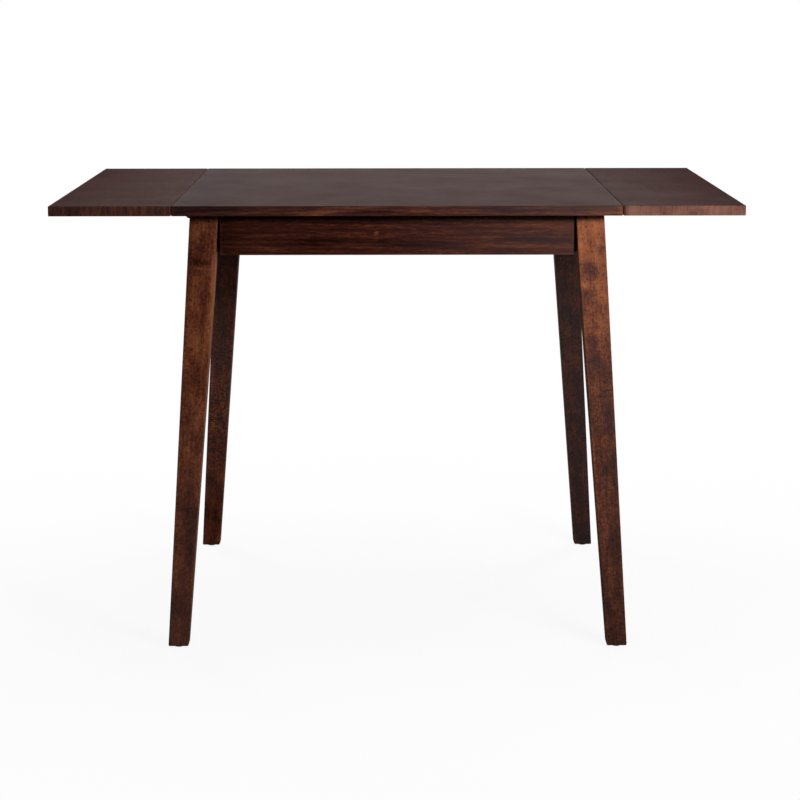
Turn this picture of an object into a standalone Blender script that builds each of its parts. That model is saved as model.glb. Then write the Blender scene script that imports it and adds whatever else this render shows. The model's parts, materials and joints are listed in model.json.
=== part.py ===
"""Double drop-leaf dining table with pull-out leaf supports.

Metres, +Z up, with the origin on the floor under the middle of the top.
X runs along the table from the left leaf to the right leaf, and the front faces -Y.
"""

import math

import bmesh
import bpy
from mathutils import Vector

# Top panels
TABLE_HEIGHT = 0.750
TABLE_DEPTH = 0.762
CENTRE_WIDTH = 0.736
LEAF_WIDTH = 0.1995
TOP_THICKNESS = 0.0165
TOP_EASE = 0.0012
LEAF_GAP = 0.001

# Legs: the outer faces are straight, and the inner faces taper below the knee
LEG_INSET_X = 0.026
LEG_INSET_Y = 0.049
LEG_SPLAY_X = 0.046
LEG_SPLAY_Y = 0.037
LEG_TOP_WIDTH = 0.0465
LEG_TOP_DEPTH = 0.048
LEG_FOOT_WIDTH = 0.034
LEG_FOOT_DEPTH = 0.032
LEG_KNEE_DROP = 0.095
LEG_EASE = 0.0025
LEG_CORNER_CUT = 0.012
FOOT_CHAMFER = 0.003

# Foot glides
GLIDE_RADIUS = 0.0085
GLIDE_FLAT_RADIUS = 0.006
GLIDE_HEIGHT = 0.003
GLIDE_RIM = 0.0012
GLIDE_SHANK_RADIUS = 0.002
GLIDE_SHANK_LENGTH = 0.012

# Aprons and corner blocks
APRON_HEIGHT = 0.070
APRON_THICKNESS = 0.018
APRON_SETBACK = 0.006
APRON_END_GAP = 0.002
BLOCK_THICKNESS = 0.022
BLOCK_HEIGHT = 0.066
BLOCK_DROP = 0.0025

# Hanger bolts with their washers and nuts
BOLT_RADIUS = 0.004
BOLT_IN_LEG = 0.022
BOLT_TAIL = 0.003
WASHER_RADIUS = 0.009
WASHER_THICKNESS = 0.0016
NUT_ACROSS_FLATS = 0.013
NUT_HEIGHT = 0.0065

# Leaf supports, called lopers, with their guide rails and stop pins
LOPER_WIDTH = 0.022
LOPER_HEIGHT = 0.020
LOPER_TRAVEL = 0.100
LOPER_TIP_INSET = 0.004
LOPER_TAIL = 0.020
LOPER_NOSE_CUT = 0.008
LOPER_LEAD_IN = 0.0015
LOPER_BLOCK_GAP = 0.031
LOPER_PASSING_GAP = 0.028
RAIL_THICKNESS = 0.018
RAIL_HEIGHT = 0.045
STOP_RADIUS = 0.004
STOP_IN_LOPER = 0.012
STOP_BELOW_LOPER = 0.010

# Butt hinges with rolled knuckles
HINGE_LENGTH = 0.050
HINGE_LOPER_GAP = 0.014
FLAP_THICKNESS = 0.0013
FLAP_LEG_GAP = 0.0045
HINGE_PIN_RADIUS = 0.0012
HINGE_PIN_END = 0.0005
ROLL_END_ANGLE = math.radians(-200.0)
SCREW_HOLE_RADIUS = 0.0018
SCREW_EDGE_INSET = 0.007
SCREW_PITCH = 0.016

# Clearances
SEAT_GAP = 0.0003
HOLE_GAP = 0.0003
SLIDE_GAP = 0.0005
KNUCKLE_GAP = 0.0004
CUT_MARGIN = 0.004

# Facets
ROUND_SIDES = 16
PIN_SIDES = 12
ROLL_STEPS = 12
CORNER_STEPS = 2
EASE_STEPS = 2
CREASE_ANGLE = math.radians(40.0)
MERGE_DISTANCE = 1e-6

# Levels
UNDERSIDE = TABLE_HEIGHT - TOP_THICKNESS
SEAT_Z = UNDERSIDE - SEAT_GAP
FOOT_Z = GLIDE_HEIGHT + SEAT_GAP
LEG_LENGTH = SEAT_Z - FOOT_Z

# Legs and aprons in plan, for the right rear corner
LEG_X = CENTRE_WIDTH / 2 - LEG_INSET_X
LEG_Y = TABLE_DEPTH / 2 - LEG_INSET_Y
LEG_INNER_X = LEG_X - LEG_TOP_WIDTH
LEG_INNER_Y = LEG_Y - LEG_TOP_DEPTH
APRON_INNER_X = LEG_X - APRON_SETBACK - APRON_THICKNESS
APRON_INNER_Y = LEG_Y - APRON_SETBACK - APRON_THICKNESS
LONG_APRON_LENGTH = 2 * (LEG_INNER_X - APRON_END_GAP)
SIDE_APRON_LENGTH = 2 * (LEG_INNER_Y - APRON_END_GAP)

# Corner blocks: their faces are the lines where x + y is constant
DIAGONAL = math.sqrt(2.0)
FLAT_SUM = LEG_INNER_X + LEG_INNER_Y + LEG_CORNER_CUT
BLOCK_OUTER_SUM = FLAT_SUM - DIAGONAL * SEAT_GAP
BLOCK_INNER_SUM = BLOCK_OUTER_SUM - DIAGONAL * BLOCK_THICKNESS
BLOCK_END_X = APRON_INNER_X - SEAT_GAP
BLOCK_END_Y = APRON_INNER_Y - SEAT_GAP

# Bolt axis: across the corner at the block's mid height, through the middle of the leg's flat
BOLT_DROP = BLOCK_DROP + BLOCK_HEIGHT / 2
BOLT_Z = SEAT_Z - BOLT_DROP
BOLT_SKEW = (LEG_INNER_X - LEG_INNER_Y) + (LEG_SPLAY_X - LEG_SPLAY_Y) * BOLT_DROP / LEG_LENGTH
FLAT_X = (FLAT_SUM + BOLT_SKEW) / 2
FLAT_Y = (FLAT_SUM - BOLT_SKEW) / 2
WASHER_START = SEAT_GAP + BLOCK_THICKNESS + SEAT_GAP
NUT_START = WASHER_START + WASHER_THICKNESS + SEAT_GAP
BOLT_END = NUT_START + NUT_HEIGHT + BOLT_TAIL

# Lopers: the left pair runs outside the right pair, so that their tails can pass
LOPER_Z = UNDERSIDE - SLIDE_GAP - LOPER_HEIGHT / 2
LOPER_TIP_X = CENTRE_WIDTH / 2 - LOPER_TIP_INSET
LEFT_LOPER_Y = BLOCK_INNER_SUM - BLOCK_END_X - LOPER_BLOCK_GAP - LOPER_WIDTH / 2
RIGHT_LOPER_Y = LEFT_LOPER_Y - LOPER_WIDTH - LOPER_PASSING_GAP
NOTCH_WIDTH = LOPER_WIDTH + 2 * SLIDE_GAP
NOTCH_DEPTH = SLIDE_GAP + LOPER_HEIGHT + SLIDE_GAP - SEAT_GAP
RAIL_OUTER_X = APRON_INNER_X - LOPER_TRAVEL - 2 * STOP_RADIUS - 2 * SLIDE_GAP
RAIL_X = RAIL_OUTER_X - RAIL_THICKNESS / 2
RAIL_LENGTH = 2 * (APRON_INNER_Y - SEAT_GAP)
STOP_X = RAIL_OUTER_X + SLIDE_GAP + STOP_RADIUS
LOPER_LENGTH = LOPER_TIP_X - (RAIL_OUTER_X - RAIL_THICKNESS - LOPER_TRAVEL - LOPER_TAIL)

# Hinges
BORE_RADIUS = HINGE_PIN_RADIUS + HOLE_GAP
KNUCKLE_RADIUS = BORE_RADIUS + FLAP_THICKNESS
HINGE_X = CENTRE_WIDTH / 2 + LEAF_GAP / 2
HINGE_Z = SEAT_Z - KNUCKLE_RADIUS
HINGE_Y = LEFT_LOPER_Y + LOPER_WIDTH / 2 + HINGE_LOPER_GAP + HINGE_LENGTH / 2
FLAP_WIDTH = HINGE_X - LEG_X - FLAP_LEG_GAP

SIDES = {"left": -1, "right": 1}
ENDS = {"front": -1, "rear": 1}
LOPER_Y = {"left": LEFT_LOPER_Y, "right": RIGHT_LOPER_Y}
HINGE_ROWS = {"front": -HINGE_Y, "middle": 0.0, "rear": HINGE_Y}


def clear_scene():
    """Remove every object that the scene starts with."""
    for thing in list(bpy.data.objects):
        bpy.data.objects.remove(thing, do_unlink=True)


def finish(name, colour, roughness, metallic=0.0):
    """Return a plain Principled material."""
    material = bpy.data.materials.new(name)
    material.use_nodes = True
    shader = material.node_tree.nodes["Principled BSDF"]
    shader.inputs["Base Color"].default_value = (*colour, 1.0)
    shader.inputs["Roughness"].default_value = roughness
    shader.inputs["Metallic"].default_value = metallic
    return material


def finished(bm):
    """Turn a bmesh into a mesh whose faces point outwards."""
    bmesh.ops.recalc_face_normals(bm, faces=bm.faces)
    mesh = bpy.data.meshes.new("shape")
    bm.to_mesh(mesh)
    bm.free()
    return mesh


def smooth(mesh):
    """Shade a round shape smooth, with its creases kept sharp."""
    mesh.shade_smooth()
    mesh.set_sharp_from_angle(angle=CREASE_ANGLE)
    return mesh


def place(name, mesh, material, location, turn=(0.0, 0.0, 0.0), parent=None):
    """Add a named piece to the scene."""
    piece = bpy.data.objects.new(name, mesh)
    piece.location = location
    piece.rotation_euler = turn
    piece.parent = parent
    if not mesh.materials:
        mesh.materials.append(material)
    bpy.context.scene.collection.objects.link(piece)
    return piece


def carved(mesh, *cutters):
    """Return the mesh with the cutter meshes taken out of it."""
    scene_objects = bpy.context.scene.collection.objects
    blank = bpy.data.objects.new("blank", mesh)
    scene_objects.link(blank)
    tools = []
    for cutter in cutters:
        tool = bpy.data.objects.new("cutter", cutter)
        tool.hide_render = True
        tool.display_type = "WIRE"
        scene_objects.link(tool)
        cut = blank.modifiers.new("cut", "BOOLEAN")
        cut.operation = "DIFFERENCE"
        cut.solver = "EXACT"
        cut.object = tool
        tools.append(tool)
    graph = bpy.context.evaluated_depsgraph_get()
    result = bpy.data.meshes.new_from_object(blank.evaluated_get(graph))
    for thing in (blank, *tools):
        bpy.data.objects.remove(thing, do_unlink=True)
    return result


def prism(outline, sweep):
    """Carry a closed outline of points along one vector."""
    bm = bmesh.new()
    face = bm.faces.new([bm.verts.new(point) for point in outline])
    extruded = bmesh.ops.extrude_face_region(bm, geom=[face])
    moved = [item for item in extruded["geom"] if isinstance(item, bmesh.types.BMVert)]
    bmesh.ops.translate(bm, verts=moved, vec=sweep)
    return finished(bm)


def box(low, high):
    """Return a plain box between two corners."""
    (x0, y0, z0), (x1, y1, z1) = low, high
    base = [(x0, y0, z0), (x1, y0, z0), (x1, y1, z0), (x0, y1, z0)]
    return prism(base, (0.0, 0.0, z1 - z0))


def rod(radius, start, end, sides=ROUND_SIDES, base=(0.0, 0.0, 0.0), axis=(0.0, 0.0, 1.0)):
    """Return a round bar along an axis, from start to end measured from a base point."""
    bm = bmesh.new()
    bmesh.ops.create_cone(
        bm, cap_ends=True, segments=sides, radius1=radius, radius2=radius, depth=end - start
    )
    bmesh.ops.translate(bm, verts=bm.verts, vec=(0.0, 0.0, (start + end) / 2))
    direction = Vector(axis)
    bmesh.ops.rotate(bm, verts=bm.verts, matrix=direction.to_track_quat("Z", "Y").to_matrix())
    bmesh.ops.translate(bm, verts=bm.verts, vec=base)
    return smooth(finished(bm))


def mirrored(mesh, side, end):
    """Return a copy for another corner, with X scaled by side and Y by end (each 1 or -1)."""
    bm = bmesh.new()
    bm.from_mesh(mesh)
    bmesh.ops.scale(bm, verts=bm.verts, vec=(side, end, 1.0))
    return smooth(finished(bm))


def panel_mesh(x0, x1):
    """A flat top panel with eased edges, its underside at z = 0."""
    bm = bmesh.new()
    bm.from_mesh(box((x0, -TABLE_DEPTH / 2, 0.0), (x1, TABLE_DEPTH / 2, TOP_THICKNESS)))
    bmesh.ops.bevel(
        bm, geom=bm.edges[:], offset=TOP_EASE, segments=EASE_STEPS, profile=0.5, affect="EDGES"
    )
    return smooth(finished(bm))


def rounded_rectangle(x0, x1, y0, y1, radius):
    """Points round a rectangle whose corners are arcs."""
    centres = ((x1 - radius, y1 - radius), (x0 + radius, y1 - radius),
               (x0 + radius, y0 + radius), (x1 - radius, y0 + radius))
    points = []
    for quarter, (cx, cy) in enumerate(centres):
        for step in range(CORNER_STEPS + 1):
            angle = math.pi / 2 * (quarter + step / CORNER_STEPS)
            points.append((cx + radius * math.cos(angle), cy + radius * math.sin(angle)))
    return points


def leg_section(drop, inset=0.0):
    """A leg's outline at a distance below its top, measured from the outer top corner."""
    lean = drop / LEG_LENGTH
    taper = max(0.0, (drop - LEG_KNEE_DROP) / (LEG_LENGTH - LEG_KNEE_DROP))
    width = LEG_TOP_WIDTH + (LEG_FOOT_WIDTH - LEG_TOP_WIDTH) * taper
    depth = LEG_TOP_DEPTH + (LEG_FOOT_DEPTH - LEG_TOP_DEPTH) * taper
    x1 = LEG_SPLAY_X * lean
    y1 = LEG_SPLAY_Y * lean
    plan = rounded_rectangle(
        x1 - width + inset, x1 - inset, y1 - depth + inset, y1 - inset, LEG_EASE
    )
    return [(x, y, -drop) for x, y in plan]


def leg_mesh():
    """The right rear leg, with its corner flat, bolt hole and glide hole."""
    sections = [
        leg_section(0.0),
        leg_section(LEG_KNEE_DROP),
        leg_section(LEG_LENGTH - FOOT_CHAMFER),
        leg_section(LEG_LENGTH, FOOT_CHAMFER),
    ]
    bm = bmesh.new()
    rings = [[bm.verts.new(point) for point in section] for section in sections]
    for upper, lower in zip(rings, rings[1:]):
        for here in range(len(upper)):
            after = (here + 1) % len(upper)
            bm.faces.new((upper[here], upper[after], lower[after], lower[here]))
    bm.faces.new(rings[0])
    bm.faces.new(rings[-1])
    flat_x = FLAT_X - LEG_X
    flat_y = FLAT_Y - LEG_Y
    reach = LEG_TOP_WIDTH + LEG_TOP_DEPTH
    flat_cutter = prism(
        [
            (flat_x - reach, flat_y + reach, CUT_MARGIN),
            (flat_x + reach, flat_y - reach, CUT_MARGIN),
            (flat_x - reach, flat_y - reach, CUT_MARGIN),
        ],
        (0.0, 0.0, -LEG_LENGTH - CUT_MARGIN * 2),
    )
    bolt_hole = rod(
        BOLT_RADIUS + HOLE_GAP, -CUT_MARGIN, BOLT_IN_LEG + SEAT_GAP,
        base=(flat_x, flat_y, -BOLT_DROP), axis=(1.0, 1.0, 0.0),
    )
    glide_hole = rod(
        GLIDE_SHANK_RADIUS + HOLE_GAP, -CUT_MARGIN, GLIDE_SHANK_LENGTH + SEAT_GAP,
        sides=PIN_SIDES, base=(*glide_offset(), -LEG_LENGTH),
    )
    return smooth(carved(finished(bm), flat_cutter, bolt_hole, glide_hole))


def glide_offset():
    """The middle of the foot, measured from the leg's outer top corner."""
    return LEG_SPLAY_X - LEG_FOOT_WIDTH / 2, LEG_SPLAY_Y - LEG_FOOT_DEPTH / 2


def glide_mesh():
    """A nail-on glide: a flat-bottomed button under the foot and a shank up into it."""
    profile = [
        (0.0, 0.0),
        (GLIDE_FLAT_RADIUS, 0.0),
        (GLIDE_RADIUS, GLIDE_HEIGHT - GLIDE_RIM),
        (GLIDE_RADIUS, GLIDE_HEIGHT),
        (GLIDE_SHANK_RADIUS, GLIDE_HEIGHT),
        (GLIDE_SHANK_RADIUS, GLIDE_HEIGHT + SEAT_GAP + GLIDE_SHANK_LENGTH),
        (0.0, GLIDE_HEIGHT + SEAT_GAP + GLIDE_SHANK_LENGTH),
    ]
    bm = bmesh.new()
    verts = [bm.verts.new((radius, 0.0, z)) for radius, z in profile]
    edges = [bm.edges.new(pair) for pair in zip(verts, verts[1:])]
    bmesh.ops.spin(
        bm, geom=verts + edges, angle=2 * math.pi, steps=PIN_SIDES, axis=(0.0, 0.0, 1.0),
        cent=(0.0, 0.0, 0.0), use_merge=True,
    )
    bmesh.ops.remove_doubles(bm, verts=bm.verts, dist=MERGE_DISTANCE)
    return smooth(finished(bm))


def board_mesh(length, height, thickness, notches=(), along_x=False):
    """A board on edge, its top at z = 0, with notches for the lopers in its top edge."""
    half = length / 2
    outline = [(-half, -height), (half, -height), (half, 0.0)]
    for centre in sorted(notches, reverse=True):
        for offset, level in ((1, 0.0), (1, -NOTCH_DEPTH), (-1, -NOTCH_DEPTH), (-1, 0.0)):
            outline.append((centre + offset * NOTCH_WIDTH / 2, level))
    outline.append((-half, 0.0))
    if along_x:
        return prism([(u, -thickness / 2, z) for u, z in outline], (0.0, thickness, 0.0))
    return prism([(-thickness / 2, u, z) for u, z in outline], (thickness, 0.0, 0.0))


def block_mesh():
    """The right rear corner block, in plan between the two aprons, with its bolt hole."""
    plan = [
        (BLOCK_OUTER_SUM - BLOCK_END_Y, BLOCK_END_Y),
        (BLOCK_INNER_SUM - BLOCK_END_Y, BLOCK_END_Y),
        (BLOCK_END_X, BLOCK_INNER_SUM - BLOCK_END_X),
        (BLOCK_END_X, BLOCK_OUTER_SUM - BLOCK_END_X),
    ]
    solid = prism([(x, y, -BLOCK_HEIGHT / 2) for x, y in plan], (0.0, 0.0, BLOCK_HEIGHT))
    bolt_hole = rod(
        BOLT_RADIUS + HOLE_GAP, -BLOCK_THICKNESS - CUT_MARGIN, CUT_MARGIN,
        base=(FLAT_X, FLAT_Y, 0.0), axis=(1.0, 1.0, 0.0),
    )
    return carved(solid, bolt_hole)


def bolt_mesh():
    """A hanger bolt along -Z from the leg's flat, and +Z into the leg."""
    return rod(BOLT_RADIUS, -BOLT_END, BOLT_IN_LEG)


def washer_mesh():
    """A flat washer on the bolt."""
    end = WASHER_START + WASHER_THICKNESS
    hole = rod(BOLT_RADIUS + HOLE_GAP, -end - CUT_MARGIN, -WASHER_START + CUT_MARGIN)
    return smooth(carved(rod(WASHER_RADIUS, -end, -WASHER_START), hole))


def nut_mesh():
    """A six-sided nut on the bolt."""
    end = NUT_START + NUT_HEIGHT
    hole = rod(BOLT_RADIUS + HOLE_GAP, -end - CUT_MARGIN, -NUT_START + CUT_MARGIN)
    across_corners = NUT_ACROSS_FLATS / math.cos(math.pi / 6)
    return smooth(carved(rod(across_corners / 2, -end, -NUT_START, sides=6), hole))


def loper_mesh():
    """A leaf support, its tip at x = 0, pointing along +X, with a hole for its stop pin."""
    half = LOPER_HEIGHT / 2
    side = -LOPER_WIDTH / 2
    outline = [
        (-LOPER_LENGTH, -half),
        (-LOPER_NOSE_CUT, -half),
        (0.0, -half + LOPER_NOSE_CUT),
        (0.0, half - LOPER_LEAD_IN),
        (-LOPER_LEAD_IN, half),
        (-LOPER_LENGTH, half),
    ]
    solid = prism([(x, side, z) for x, z in outline], (0.0, LOPER_WIDTH, 0.0))
    stop_hole = rod(
        STOP_RADIUS + HOLE_GAP, -CUT_MARGIN, STOP_IN_LOPER + SEAT_GAP,
        base=(STOP_X - LOPER_TIP_X, 0.0, -half),
    )
    return carved(solid, stop_hole)


def flap_mesh(moving):
    """Half of a hinge, rolled round the pin at the origin, with three screw holes.

    The fixed flap runs along -X with two knuckles, and the moving flap along +X with one.
    """
    out = 1 if moving else -1
    turns = [
        math.pi / 2 + (ROLL_END_ANGLE - math.pi / 2) * step / ROLL_STEPS
        for step in range(ROLL_STEPS + 1)
    ]
    outer = [(KNUCKLE_RADIUS * math.cos(turn), KNUCKLE_RADIUS * math.sin(turn)) for turn in turns]
    inner = [(BORE_RADIUS * math.cos(turn), BORE_RADIUS * math.sin(turn)) for turn in turns]
    outline = [(-FLAP_WIDTH, KNUCKLE_RADIUS), *outer, *reversed(inner), (-FLAP_WIDTH, BORE_RADIUS)]
    half = HINGE_LENGTH / 2
    solid = prism([(-out * x, -half, z) for x, z in outline], (0.0, HINGE_LENGTH, 0.0))
    reach = KNUCKLE_RADIUS + KNUCKLE_GAP
    beyond = KNUCKLE_RADIUS + CUT_MARGIN
    third = HINGE_LENGTH / 6
    if moving:
        inside = third - KNUCKLE_GAP / 2
        spans = [(inside, half + CUT_MARGIN), (-half - CUT_MARGIN, -inside)]
        x_span = (-beyond, reach)
    else:
        inside = third + KNUCKLE_GAP / 2
        spans = [(-inside, inside)]
        x_span = (-reach, beyond)
    gaps = [box((x_span[0], start, -beyond), (x_span[1], stop, beyond)) for start, stop in spans]
    screw_x = out * (FLAP_WIDTH - SCREW_EDGE_INSET)
    holes = [
        rod(SCREW_HOLE_RADIUS, -beyond, beyond, sides=PIN_SIDES, base=(screw_x, row * SCREW_PITCH, 0.0))
        for row in (-1, 0, 1)
    ]
    return smooth(carved(solid, *gaps, *holes))


def build_top(wood):
    """The centre panel, and an empty on each leaf's hinge axis with the leaf on it."""
    half = CENTRE_WIDTH / 2
    place("centre_top", panel_mesh(-half, half), wood, (0.0, 0.0, UNDERSIDE))
    axes = {}
    for side, sign in SIDES.items():
        axis = bpy.data.objects.new(f"{side}_leaf_axis", None)
        axis.location = (sign * HINGE_X, 0.0, HINGE_Z)
        bpy.context.scene.collection.objects.link(axis)
        near = sign * LEAF_GAP / 2
        far = near + sign * LEAF_WIDTH
        mesh = panel_mesh(min(near, far), max(near, far))
        place(f"{side}_leaf", mesh, wood, (0.0, 0.0, UNDERSIDE - HINGE_Z), parent=axis)
        axes[side] = axis
    return axes


def build_hinges(axes, steel):
    """Three butt hinges under each joint line, their moving flaps on the leaf's axis."""
    fixed = flap_mesh(moving=False)
    moving = flap_mesh(moving=True)
    reach = HINGE_LENGTH / 2 + HINGE_PIN_END
    pin = rod(HINGE_PIN_RADIUS, -reach, reach, sides=PIN_SIDES, axis=(0.0, 1.0, 0.0))
    for side, sign in SIDES.items():
        turn = (0.0, 0.0, 0.0 if sign > 0 else math.pi)
        for row, y in HINGE_ROWS.items():
            name = f"{side}_{row}_hinge"
            where = (sign * HINGE_X, y, HINGE_Z)
            place(f"{name}_fixed_flap", fixed, steel, where, turn)
            place(f"{name}_moving_flap", moving, steel, (0.0, y, 0.0), turn, axes[side])
            place(f"{name}_pin", pin, steel, where)


def build_corners(leg_wood, frame_wood, steel, glide_plastic):
    """A leg, glide, corner block, hanger bolt, washer and nut at each corner."""
    leg = leg_mesh()
    glide = glide_mesh()
    block = block_mesh()
    fasteners = {
        "hanger_bolt": bolt_mesh(),
        "bolt_washer": washer_mesh(),
        "bolt_nut": nut_mesh(),
    }
    foot_x, foot_y = glide_offset()
    for end, end_sign in ENDS.items():
        for side, side_sign in SIDES.items():
            corner = f"{end}_{side}"
            place(
                f"{corner}_leg", mirrored(leg, side_sign, end_sign), leg_wood,
                (side_sign * LEG_X, end_sign * LEG_Y, SEAT_Z),
            )
            place(
                f"{corner}_foot_glide", glide, glide_plastic,
                (side_sign * (LEG_X + foot_x), end_sign * (LEG_Y + foot_y), 0.0),
            )
            place(
                f"{corner}_corner_block", mirrored(block, side_sign, end_sign), frame_wood,
                (0.0, 0.0, BOLT_Z),
            )
            where = (side_sign * FLAT_X, end_sign * FLAT_Y, BOLT_Z)
            outward = Vector((side_sign, end_sign, 0.0)).to_track_quat("Z", "Y").to_euler()
            for fastener, mesh in fasteners.items():
                place(f"{corner}_{fastener}", mesh, steel, where, outward)


def build_frame(apron_wood, frame_wood):
    """The four aprons and the two guide rails, all up against the centre panel."""
    long_board = board_mesh(LONG_APRON_LENGTH, APRON_HEIGHT, APRON_THICKNESS, along_x=True)
    for end, sign in ENDS.items():
        y = sign * (APRON_INNER_Y + APRON_THICKNESS / 2)
        place(f"{end}_apron", long_board, apron_wood, (0.0, y, SEAT_Z))
    for side, sign in SIDES.items():
        notches = (-LOPER_Y[side], LOPER_Y[side])
        apron = board_mesh(SIDE_APRON_LENGTH, APRON_HEIGHT, APRON_THICKNESS, notches)
        rail = board_mesh(RAIL_LENGTH, RAIL_HEIGHT, RAIL_THICKNESS, notches)
        x = sign * (APRON_INNER_X + APRON_THICKNESS / 2)
        place(f"{side}_apron", apron, apron_wood, (x, 0.0, SEAT_Z))
        place(f"{side}_guide_rail", rail, frame_wood, (sign * RAIL_X, 0.0, SEAT_Z))


def build_lopers(frame_wood, dowel_wood):
    """Two lopers under each leaf, pushed in, each with its stop pin."""
    loper = loper_mesh()
    half = LOPER_HEIGHT / 2
    stop = rod(STOP_RADIUS, -half - STOP_BELOW_LOPER, -half + STOP_IN_LOPER)
    for side, sign in SIDES.items():
        turn = (0.0, 0.0, 0.0 if sign > 0 else math.pi)
        for end, end_sign in ENDS.items():
            name = f"{side}_{end}_loper"
            where = (sign * LOPER_TIP_X, end_sign * LOPER_Y[side], LOPER_Z)
            slide = place(name, loper, frame_wood, where, turn)
            place(f"{name}_stop", stop, dowel_wood, (STOP_X - LOPER_TIP_X, 0.0, 0.0), parent=slide)


def main():
    """Build the table with both leaves raised and the lopers pushed in."""
    clear_scene()
    top_wood = finish("walnut_stained_top", (0.060, 0.030, 0.024), 0.35)
    leg_wood = finish("walnut_stained_leg", (0.085, 0.032, 0.016), 0.42)
    apron_wood = finish("walnut_stained_apron", (0.055, 0.020, 0.012), 0.42)
    frame_wood = finish("dark_inner_wood", (0.050, 0.022, 0.014), 0.60)
    dowel_wood = finish("plain_dowel", (0.330, 0.210, 0.110), 0.65)
    steel = finish("zinc_steel", (0.420, 0.410, 0.390), 0.38, 1.0)
    glide_plastic = finish("black_glide", (0.020, 0.019, 0.018), 0.50)
    axes = build_top(top_wood)
    build_hinges(axes, steel)
    build_corners(leg_wood, frame_wood, steel, glide_plastic)
    build_frame(apron_wood, frame_wood)
    build_lopers(frame_wood, dowel_wood)


main()
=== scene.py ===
"""Looks of a double drop-leaf dining table in walnut-stained wood.

Metres, +Z up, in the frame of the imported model: X runs from the left leaf to the right leaf, and the
front faces -Y. Each sub-assembly is a class that builds its surfaces as numpy grids and dresses them.
"""

from __future__ import annotations

import json
import logging
import math
from abc import ABC, abstractmethod
from dataclasses import dataclass, field, replace
from enum import Enum
from typing import Any, Iterator, Sequence, Union

import bpy
import numpy as np
from mathutils import Matrix, Vector

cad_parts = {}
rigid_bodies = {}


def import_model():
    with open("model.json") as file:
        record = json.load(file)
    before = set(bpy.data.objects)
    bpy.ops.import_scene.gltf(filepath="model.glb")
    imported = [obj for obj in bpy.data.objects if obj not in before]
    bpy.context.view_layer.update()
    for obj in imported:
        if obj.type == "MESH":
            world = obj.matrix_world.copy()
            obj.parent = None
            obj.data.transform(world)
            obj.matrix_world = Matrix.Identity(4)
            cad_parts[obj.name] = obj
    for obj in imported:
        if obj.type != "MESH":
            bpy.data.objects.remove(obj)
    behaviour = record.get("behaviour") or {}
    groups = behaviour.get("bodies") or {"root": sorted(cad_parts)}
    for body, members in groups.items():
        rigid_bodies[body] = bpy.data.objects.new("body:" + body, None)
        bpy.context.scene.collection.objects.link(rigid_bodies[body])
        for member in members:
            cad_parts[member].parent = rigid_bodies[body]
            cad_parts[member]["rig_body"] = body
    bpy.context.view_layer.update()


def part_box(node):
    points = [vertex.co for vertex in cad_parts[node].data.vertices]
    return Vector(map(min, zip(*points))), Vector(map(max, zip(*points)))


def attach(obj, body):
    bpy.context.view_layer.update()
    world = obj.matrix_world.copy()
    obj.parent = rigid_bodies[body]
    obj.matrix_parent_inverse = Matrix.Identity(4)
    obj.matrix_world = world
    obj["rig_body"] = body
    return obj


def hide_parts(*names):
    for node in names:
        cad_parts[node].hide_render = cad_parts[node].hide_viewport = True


LOG = logging.getLogger("drop_leaf_table")

Array = np.ndarray
Material = bpy.types.Material
Triple = tuple[float, float, float]
Colour = Triple
Profile = Union[Array, Sequence[tuple[float, float]]]

# How finely edges and round pieces are drawn
ARC_STEPS = 5
ROUND_SIDES = 40
SCREW_SIDES = 32
SHOULDER = 0.004
SHOULDER_SHARE = 0.4
LEAST_RADIUS = 0.00005
CREASE_ANGLE = math.radians(38.0)

# Turns and directions
QUARTER = math.pi / 2
FULL_TURN = 2 * math.pi
DIAGONAL = math.sqrt(2.0)
DOWN = (0.0, 0.0, -1.0)

# How far a seed of 1 moves a noise pattern
SEED_STEP = (3.7, 1.9, 5.3)

# The stains' places on the colour ramp, the tone's share of it, and how far the palest stain goes
STAIN_STOPS = (0.075, 0.375, 0.7125, 1.0)
RAMP_SHARE = 0.75
PALEST_STEP = 1.85

# About the mean of the growth rings' wave
RING_MEAN = 0.3

# A panel's face begins and is whole at these depths below its plane
FACE_DEPTHS = (0.0006, 0.0001)

# A panel's underside is whole and ends at these shares of half its thickness
UNDERSIDE_SHARES = (-0.8, -0.7)

# A mark's rim wanders in proportion to its size, at most to these, and follows the grain's bend this far
RAGGED_LENGTH = 0.016
RAGGED_WIDTH = 0.010
LENGTH_BEND = 1.2
WIDTH_BEND = 0.8

# The lacquer bends light little, so that it shines only where it is seen edge-on
LACQUER_IOR = 1.12

# Painted sheen, a grey for reflected light: its colour, its share on dark wood, and the tones where it
# thins
PAINTED_SHEEN_COLOUR = (0.058, 0.056, 0.060)
PAINTED_SHEEN_MOST = 1.5
PAINTED_SHEEN_TONES = (0.2, 0.9)


class Way(Enum):
    """A direction on the table, as its word in the frame's nodes and its sign along its axis."""

    @property
    def word(self) -> str:
        """The direction's word in the frame's nodes."""
        return self.value[0]

    @property
    def sign(self) -> float:
        """The direction's sign along its axis."""
        return self.value[1]


class Side(Way):
    """The two ends of the table along X."""

    LEFT = ("left", -1.0)
    RIGHT = ("right", 1.0)


class End(Way):
    """The front and the rear of the table along Y."""

    FRONT = ("front", -1.0)
    REAR = ("rear", 1.0)


class Slot(Enum):
    """The record's material slots."""

    TOP = "top_wood"
    LEG = "leg_wood"
    APRON = "apron_wood"
    INNER = "inner_wood"
    DOWEL = "dowel_wood"
    HINGE = "hinge_steel"
    FIXING = "fixing_steel"
    GLIDE = "glide_plastic"


class Run(Enum):
    """The axis a section is carried along, as the order that turns (u, v, w) into (x, y, z)."""

    ALONG_X = (2, 0, 1)
    ALONG_Y = (1, 2, 0)
    ALONG_Z = (0, 1, 2)

    def world(self, rings: Array) -> Array:
        """Reorder local (u, v, w) points as (x, y, z)."""
        return rings[..., list(self.value)]


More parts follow.
